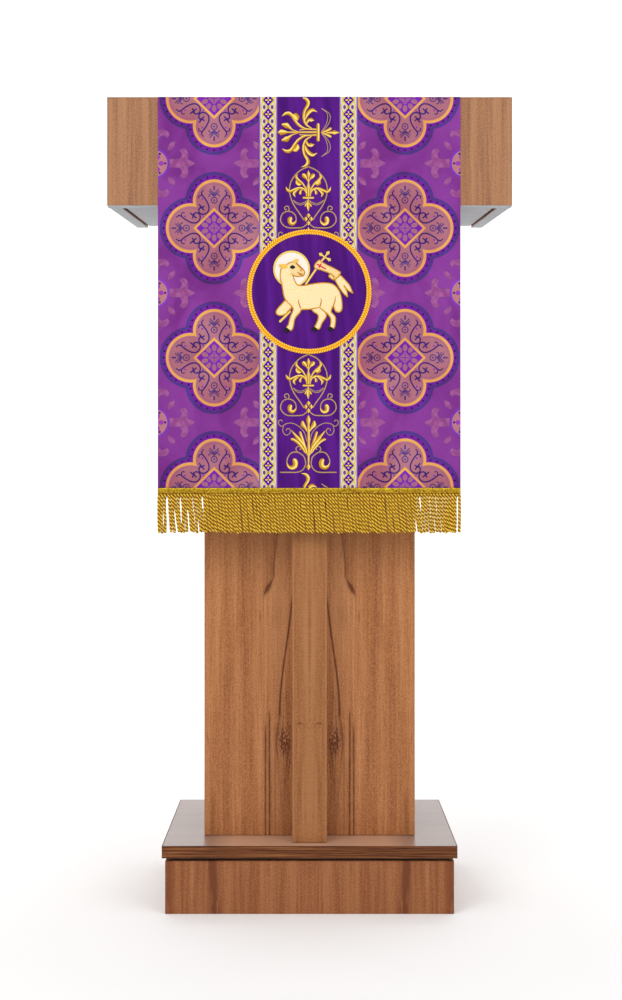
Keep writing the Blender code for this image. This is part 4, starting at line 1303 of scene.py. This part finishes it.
def build_medallion():
    """A disc of satin with a braided edge."""
    ground = Sewing(TRIM[1] + 0.00005)
    ground.pin(MEDALLION.x + MEDALLION_SHIFT, MEDALLION.z)
    radius = MEDALLION_RADIUS / MM - 3.0
    ground.patch(circle((0, 0), radius, 96), 0.55, edge=0.3, spacing=4.0, curved=False)
    disc = ground.finish("medallion_satin", SATIN, "orphrey", ("medallion_ground",))
    layer = disc.data.uv_layers["flat"]
    shift = np.tile((MEDALLION.x, MEDALLION.z), len(layer.data))
    flat = np.zeros(len(shift), np.float32)
    layer.data.foreach_get("uv", flat)
    layer.data.foreach_set("uv", (flat * MM + shift).astype(np.float32))

    g = Graph("braided_cord")
    turn, high = g.flat()
    strands = g.noise(turn * 5.0, high * 3.0, 1.0, detail=2.0)
    # Painted shade and highlight: the cord is darker in its hollows and lighter on its beads, by how high a
    # point lies
    colour = g.three_tones(high, (0.02, 0.40, 0.85), (rgb(214, 134, 0), rgb(250, 180, 14), rgb(255, 226, 96)))
    colour = g.brighten(colour, strands * 0.4 + 0.86)
    cord = g.finish(colour, strands, 0.0002, roughness=0.5, specular_ior_level=0.15)
    add_braid(cord)


def add_braid(material):
    """The edge: two rows of slanting stitches round a flattened cord."""
    half, height = CORD_WIDTH / 2, 0.0028
    stitches, steps, sides = 148, 6, 13
    middle = MEDALLION_RADIUS - half
    turns = np.arange(stitches * steps) / steps
    across = np.cos(np.linspace(0, math.pi, sides))
    turn, side = np.meshgrid(turns, across, indexing="ij")
    round_off = np.sin(np.linspace(0, math.pi, sides))
    row = (side > 0) * 0.5
    bead = np.cos(math.pi * (turn + row + np.abs(side) * 0.6)) ** 2
    bead *= 1 - np.exp(-((side / 0.22) ** 2))
    angle = turn * math.tau / stitches
    reach = middle + half * side * (0.92 + 0.08 * bead)
    heights = height * round_off * (0.5 + 0.5 * bead)
    centre = MEDALLION.x + MEDALLION_SHIFT
    places = lay(centre + reach * np.cos(angle), MEDALLION.z + reach * np.sin(angle), TRIM[1] + heights)
    rows, faces = len(turns), []
    for i in range(rows):
        for k in range(sides):
            a, b = i * sides + k, i * sides + (k + 1) % sides
            c, d = ((i + 1) % rows) * sides + (k + 1) % sides, ((i + 1) % rows) * sides + k
            faces.append((a, d, c, b))
    # The UV map carries the turn and each point's height on its bead, which the cord's material paints as
    # shade and highlight
    stitch = np.stack((turn, bead * (0.4 + 0.6 * round_off)), axis=-1).reshape(-1, 2)
    looks = (material, "gold_thread", ("medallion_cord",))
    add_piece("medallion_braid", places.reshape(-1, 3), faces, stitch, *looks, angle=40)


def sew_lamb():
    """The lamb with its halo and banner, in padded cream thread with gold outlines."""
    cream = wool()
    amber = thread("amber_outline", rgb(172, 104, 0), rgb(230, 166, 12))
    pale = thread("pale_gold", rgb(226, 176, 60), rgb(250, 224, 124))
    white = thread("white_silk", rgb(232, 220, 204), rgb(246, 238, 228))
    golden = thread("golden_wool", rgb(228, 170, 50), rgb(250, 206, 96))
    tan = thread("tan_stitches", rgb(164, 94, 0), rgb(212, 142, 8))
    dark = thread("dark_silk", rgb(12, 12, 10), rgb(44, 46, 36))
    red = thread("red_silk", rgb(214, 16, 48), rgb(232, 44, 72))

    halo = pinned(0.0)
    halo.patch(circle(*HALO), 0.25, edge=1.0, spacing=3.0)
    halo.finish("lamb_halo", white, "cream_thread", ("lamb_embroidery",))
    rim = pinned(0.05)
    rim.stroke(circle(*HALO), [1.35], closed=True, rise=0.8)
    rim.stroke([(-5.6, 10.0), (10.4, 33.4)], [1.5])
    rim.stroke([(-27.4, -28.0), (-36.0, -37.2), (-43.8, -44.9)], [1.7])
    rim.stroke([(16.8, 43.0), (22.9, 50.6)], [1.4])
    for end in ((14.2, 56.4), (29.6, 59.4), (32.2, 45.2)):
        away = np.array(end) - (22.9, 50.6)
        points = [tuple(np.array((22.9, 50.6)) + away * share) for share in (0, 0.4, 0.7, 1.0)]
        rim.stroke(points, [1.0, 1.1, 2.9, 0.2])
    rim.finish("lamb_staff_and_halo_rim", pale, "gold_thread")

    back = pinned(0.1)
    back.patch(FAR_HIND_LEG, 0.7)
    back.patch(RAISED_FORELEG, 0.7)
    back.patch(BANNER_TAILS, 0.5, edge=1.0, curved=False)
    back.patch(BANNER_FOLD, 0.35, edge=1.0, curved=False)
    back.patch(BANNER, 0.75, edge=1.0, curved=False)
    front = pinned(0.25)
    front.patch(LAMB, 1.3, edge=2.6)
    back.finish("lamb_far_legs_and_banner", cream, "cream_thread")
    front.finish("lamb_body", cream, "cream_thread")

    ears = pinned(1.2)
    ears.patch(LONG_EAR, 0.9, edge=1.5)
    ears.patch(RAISED_EAR, 0.6, edge=1.5)
    ears.finish("lamb_ears", golden, "cream_thread")

    lines = pinned(0.45)
    for outline in (FAR_HIND_LEG, RAISED_FORELEG):
        lines.stroke(outline, [0.85], closed=True, rise=0.9)
    for outline in (BANNER_TAILS, BANNER_FOLD, BANNER):
        for start, end in zip(outline, outline[1:] + outline[:1]):
            lines.stroke([start, end], [0.8], rise=0.8)
    lines.stroke([(-33.6, -30.4), (-29.0, -26.6), (-25.4, -21.6)], [0.3, 0.7, 0.5], rise=1.6)
    lines.finish("lamb_outline_behind", amber, "gold_thread")
    lines = pinned(0.35)
    lines.stroke(LAMB, [0.95], closed=True, rise=1.1)
    lines.finish("lamb_outline", amber, "gold_thread")

    drawing = pinned(1.5)
    drawing.stroke([(-15.8, -10.8), (-15.4, -16), (-14.0, -20.6), (-12.0, -25.6)], [0.2, 0.8, 0.9, 0.7])
    drawing.stroke([(17.0, -9.4), (17.8, -14), (15.8, -22.4)], [0.2, 0.8, 0.9])
    drawing.stroke([(39.0, -6), (37.8, -13), (35.9, -20.6)], [0.2, 0.8, 0.9])
    drawing.stroke([(-26.2, 27.3), (-24.6, 25.0), (-22.9, 23.2)], [0.2, 0.6, 0.8])
    drawing.stroke([(-19.6, 41.6), (-14.6, 37.0), (-9.0, 31.2)], [0.6, 1.2, 0.8])
    drawing.stroke([(-17.8, 28.3), (-14.6, 26.6), (-9.6, 25.2)], [0.5, 0.8, 0.8])
    drawing.stroke([(-15.8, 25.6), (-12.4, 24.4), (-9.4, 23.8)], [0.3, 0.6, 0.4])
    drawing.stroke([(-13.8, 31.4), (-10.8, 29.6)], [0.8, 0.8])
    drawing.finish("lamb_stitched_lines", tan, "gold_thread")

    eye = pinned(1.4)
    eye.stroke([(-28.6, 35.2), (-24.4, 35.7), (-20.2, 35.2)], [0.9, 3.1, 0.9])
    for hoof in HOOVES:
        eye.patch(hoof, 0.4, edge=1.2)
    eye.finish("lamb_eye_and_hooves", dark, "cream_thread")
    cross = pinned(0.75)
    cross.stroke([(10.7, 40.5), (24.6, 32.8)], [1.0], rise=0.8)
    cross.stroke([(14.0, 34.4), (17.8, 41.2)], [1.0], rise=0.8)
    cross.finish("banner_red_cross", red, "cream_thread")


build_medallion()
sew_lamb()


# ---------------------------------------------------------------- fringes


def metal_thread(place, high, tones):
    """Dull gilt thread, in three tones from its hollows (0) up to its ridges (1): painted shade in the
    hollows and a painted highlight on the ridges.
    """
    g = high.graph
    drift = g.noise(place * 0.11, 0.0, 2.0, detail=3.0)
    fine = g.noise(place * 1.7, high * 3.0, 6.0, detail=2.0)
    colour = g.three_tones(high, (0.20, 0.60, 0.95), tones)
    colour = g.brighten(colour, drift * 0.4 + fine * 0.3 + 0.62)
    return g.finish(colour, fine, 0.0001, **SOFT_SHINE)


def heading_gold():
    """The UV map holds the place across and a tone, mostly how high a point lies on the weave, which the
    thread paints as shade and highlight.
    """
    g = Graph("heading_gold")
    place, high = g.flat()
    x, y, z = g.place()
    mottled = g.noise(x * 430, y * 430, z * 430, detail=2.0, roughness=0.7)
    high = high + (mottled - 0.5) * 1.7
    return metal_thread(place, high, (rgb(116, 70, 0), rgb(190, 150, 16), rgb(236, 214, 60)))


def strand_gold():
    """The UV map holds the turn round the twist, in plies, and the place across."""
    g = Graph("strand_gold")
    turn, place = g.flat()
    flecks = g.noise(turn * 2.3, place * 0.4, 1.0, detail=2.0)
    # Painted highlight on each ply's ridge and painted shade in the groove between the plies, with random
    # flecks
    ridge = abs(g.math("COSINE", turn * math.pi)) + (flecks - 0.5) * 0.7
    return metal_thread(place, ridge, (rgb(104, 40, 0), rgb(166, 106, 6), rgb(228, 194, 58)))


HEADING_HEIGHT, RIB_PITCH = 0.0092, 0.0015
CLOTH_WIDTH = CLOTH_RIGHT - CLOTH_LEFT


def add_heading(node, top, bottom, material):
    """The fringe's woven heading: fine upright ribs bound by a ridge above and below."""
    ribs, steps = round(CLOTH_WIDTH / RIB_PITCH), 5
    us = np.linspace(CLOTH_LEFT, CLOTH_RIGHT, ribs * steps + 1)
    u, share = np.meshgrid(us, np.linspace(0, 1, 17))
    phase = (u - CLOTH_LEFT) / CLOTH_WIDTH * ribs
    slant = np.where(np.abs(share - 0.5) < 0.22, share * 2.4, -share * 2.4)
    rib = 0.5 + 0.5 * np.cos(math.tau * (phase + slant))
    upper = np.exp(-(((share - 0.86) / 0.10) ** 2))
    lower = np.exp(-(((share - 0.12) / 0.09) ** 2))
    round_off = np.sqrt(np.clip(1 - (2 * share - 1) ** 6, 0, 1))
    outer = (0.0004 + 0.0005 * rib + 0.0006 * upper + 0.0004 * lower) * round_off + 0.0004
    v = bottom + (top - bottom) * share
    sheets = [lay(u, v, TRIM[1] + height).reshape(-1, 3) for height in (0.00005, outer)]
    faces = sheet_faces(*u.shape)
    if bottom > top:
        faces = [face[::-1] for face in faces]
    # The tone is painted light and shade: lighter on the ribs and the upper ridge, darker where the heading
    # rounds off, and painted shade along its foot, where the strands hang from it
    tone = (0.36 + 0.26 * rib + 0.34 * upper) * (0.3 + 0.7 * round_off)
    tone = tone - 0.35 * np.exp(-((share / 0.10) ** 2))
    flat = np.tile(np.stack((u / MM, tone), axis=-1).reshape(-1, 2), (2, 1))
    looks = (material, "gold_thread", (node,))
    add_piece(f"{node}_woven", np.concatenate(sheets), faces, flat, *looks, angle=40)


# Partings between the strands in one repeat, in mm: place, width and where they start and end on the drop
PARTINGS = (
    (-214.5, 1.8, 0.45, 0.85), (-211.0, 3.2, 0.05, 1.1), (-199.2, 2.6, 0.38, 1.1),
    (-192.4, 2.4, 0.10, 0.80), (-186.2, 1.0, 0.34, 0.95), (-180.6, 2.8, 0.38, 1.1),
    (-173.6, 1.0, 0.10, 1.1), (-168.9, 2.2, 0.66, 1.1), (-159.3, 2.2, 0.02, 0.42),
    (-150.0, 1.2, 0.90, 1.1), (-137.0, 1.0, 0.92, 1.1),
)  # fmt: skip
PARTING_REPEAT = 106.5
LEAN = 5.0
STRAND_WIDTH, STRAND_RADIUS = 0.0046, 0.00245
LAY_LENGTH = 0.0114  # of the twist
EDGE = 0.0018  # the strands' middles keep this far inside the cloth's sides


def part_strands(x, share):
    """How far a strand at x (mm) moves sideways on its drop: its lean, and the partings beside it."""
    moved = LEAN * share**1.2 * step_up(x, -218, -200) * step_up(-x, -220, -190)
    wide = 0.30 + 0.25 * step_up(abs(x), 140, 160)
    for place, width, start, end in PARTINGS:
        from_parting = (x - place + PARTING_REPEAT / 2) % PARTING_REPEAT - PARTING_REPEAT / 2
        open_wide = step_up(share, start - 0.04, start + 0.16)
        open_wide = open_wide * step_up(-share, -end - 0.04, -end + 0.12)
        side = 1 if from_parting > 0 else -1
        moved = moved + side * width * wide * open_wide * math.exp(-abs(from_parting) / 5.0)
    return moved


def add_strands(node, top, direction, material, seed):
    """Twisted two-ply strands hanging from the heading, bunched in places and parted in others."""
    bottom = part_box(node)[0].z
    count = round(CLOTH_WIDTH / STRAND_WIDTH)
    spread = CLOTH_WIDTH / count
    chance = random.Random(seed)
    sides, steps = 12, 72
    share = np.linspace(0, 1, steps)
    angles = np.arange(sides) * math.tau / sides - math.pi / 2
    vertices, faces, twist = [], [], []
    phase = 0.0
    for strand in range(count):
        start = CLOTH_LEFT + (strand + 0.5) * spread
        sway = chance.gauss(0, 0.00025)
        phase += chance.gauss(0, 0.06)
        lay_length = LAY_LENGTH * (1 + chance.gauss(0, 0.03))
        reach = (top - bottom) * (1 + chance.uniform(-0.03, 0.02))
        middle = start + part_strands(start / MM, share) * MM + sway * np.sin(share * math.pi * 1.7)
        middle = np.clip(middle, CLOTH_LEFT + EDGE, CLOTH_RIGHT - EDGE)
        turn = -math.tau * (share * reach / lay_length + phase)
        left = np.minimum((1 - share) * reach / 0.0020, 1)
        thick = STRAND_RADIUS * np.sqrt(np.clip(1 - (1 - left) ** 2, 0.05, 1))
        ridge = np.abs(np.cos(angles[None] - turn[:, None]))
        radius = thick[:, None] * (0.72 + 0.28 * ridge)
        along = (middle[:, None] + radius * np.cos(angles)[None]).ravel()
        stand_off = TRIM[1] + 0.0020 + chance.uniform(-0.0002, 0.0002)
        height = (stand_off + radius * np.sin(angles)[None]).ravel()
        base = len(vertices) * steps * sides
        vertices.append(hang(along, np.repeat(top - reach * share, sides), height, direction))
        plies = (angles[None] - turn[:, None]) / math.pi
        place = np.repeat(start / MM + share * 30, sides)
        twist.append(np.stack((plies.ravel(), place), axis=-1))
        for row in range(steps - 1):
            for side in range(sides):
                a, b = base + row * sides + side, base + row * sides + (side + 1) % sides
                faces.append((a, b, b + sides, a + sides)[::direction])
        faces.append(tuple(base + side for side in range(sides))[::-direction])
        faces.append(tuple(base + (steps - 1) * sides + side for side in range(sides))[::direction])
    looks = (material, "gold_thread", (node,))
    vertices, twist = np.concatenate(vertices), np.concatenate(twist)
    piece = add_piece(f"{node}_strands", vertices, faces, twist, *looks, angle=75)
    close_turns(piece, count, steps - 1, sides)


def close_turns(piece, count, rows, sides):
    """Lets the turn go on to two plies in a ring's last face, instead of back to none."""
    layer = piece.data.uv_layers["flat"]
    flat = np.zeros(len(layer.data) * 2, np.float32)
    layer.data.foreach_get("uv", flat)
    strands = flat.reshape(count, -1, 2)
    ends = rows * sides * 4
    quads = strands[:, :ends].reshape(count, rows, sides, 4, 2)
    quads[:, :, -1, 1:3, 0] += 2.0
    strands[:, :ends] = quads.reshape(count, ends, 2)
    layer.data.foreach_set("uv", strands.ravel())


def hang(u, z, height, direction):
    """Places in front of the front hem, or behind the rear one."""
    hem = FRONT_HEM if direction == 1 else FALL_TOP
    on_hem = lay(u, np.full(u.shape, hem), height)
    on_hem[:, 2] = z
    return on_hem


def add_fringes():
    woven, twisted = heading_gold(), strand_gold()
    front_top = HEADING_TOP
    rear_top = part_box("rear_fringe_heading")[1].z
    add_heading("front_fringe_heading", front_top, front_top - HEADING_HEIGHT, woven)
    rear_end = FALL_TOP - (rear_top - REAR_HEM)
    add_heading("rear_fringe_heading", rear_end, rear_end + HEADING_HEIGHT, woven)
    add_strands("front_fringe_skirt", front_top - HEADING_HEIGHT + 0.0004, 1, twisted, 5)
    add_strands("rear_fringe_skirt", rear_top - HEADING_HEIGHT + 0.0004, -1, twisted, 9)


add_fringes()


# ---------------------------------------------------------------- stage, light and camera


def add_stage():
    """A pale floor that curves up into a backdrop."""
    material = speckled("pale_floor", 2, rgb(251, 251, 251), rgb(255, 255, 255), roughness=0.9)
    bm = bmesh.new()
    near, far, rise, radius = -6.0, 3.5, 7.0, 1.5
    profile = [(near, 0.0)]
    for step in range(13):
        angle = math.pi / 2 * step / 12
        profile.append((far + radius * math.sin(angle), radius * (1 - math.cos(angle))))
    profile.append((far + radius, rise))
    rows = [[bm.verts.new((x_end, y_at, z_at)) for x_end in (-8, 8)] for y_at, z_at in profile]
    for (a, b), (c, d) in zip(rows, rows[1:]):
        bm.faces.new((a, b, d, c))
    mesh = bpy.data.meshes.new("floor")
    bm.to_mesh(mesh)
    bm.free()
    mesh.materials.append(material)
    mesh.shade_smooth()
    floor = bpy.data.objects.new("floor", mesh)
    scene.collection.objects.link(floor)


def add_area(name, place, aim, size, power):
    """A rectangular lamp that looks at aim."""
    light = bpy.data.lights.new(name, "AREA")
    light.shape = "RECTANGLE"
    light.size, light.size_y = size
    light.energy = power
    lamp = bpy.data.objects.new(name, light)
    lamp.location = place
    lamp.rotation_euler = (Vector(aim) - Vector(place)).to_track_quat("-Z", "Y").to_euler()
    scene.collection.objects.link(lamp)


def add_lights():
    world = bpy.data.worlds.new("studio")
    world.use_nodes = True
    background = world.node_tree.nodes["Background"]
    background.inputs["Color"].default_value = (1, 1, 1, 1)
    background.inputs["Strength"].default_value = 0.80
    scene.world = world
    add_area("key", (-1.6, -2.6, 2.6), (0, 0, 0.9), (1.6, 1.6), 30)
    add_area("fill", (1.9, -2.4, 1.9), (0, 0, 0.7), (1.6, 1.6), 16)
    add_area("backdrop_light", (0, 1.4, 3.2), (0, 4.0, 1.0), (3.0, 1.0), 60)


VIEW_DISTANCE, EYE_HEIGHT = 2.25, 0.640


def add_camera():
    """Level, in front of the fascia, where the head is seen from below and the base from above."""
    data = bpy.data.cameras.new("camera")
    data.lens = 55.2
    data.sensor_width = 36.0
    data.shift_x, data.shift_y = 0.0014, -0.0212
    data.clip_end = 50
    camera = bpy.data.objects.new("camera", data)
    camera.location = (0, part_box("head_fascia")[0].y - VIEW_DISTANCE, EYE_HEIGHT)
    camera.rotation_euler = (math.pi / 2, 0, 0)
    scene.collection.objects.link(camera)
    scene.camera = camera


add_stage()
add_lights()
add_camera()
scene.view_settings.view_transform = "Standard"
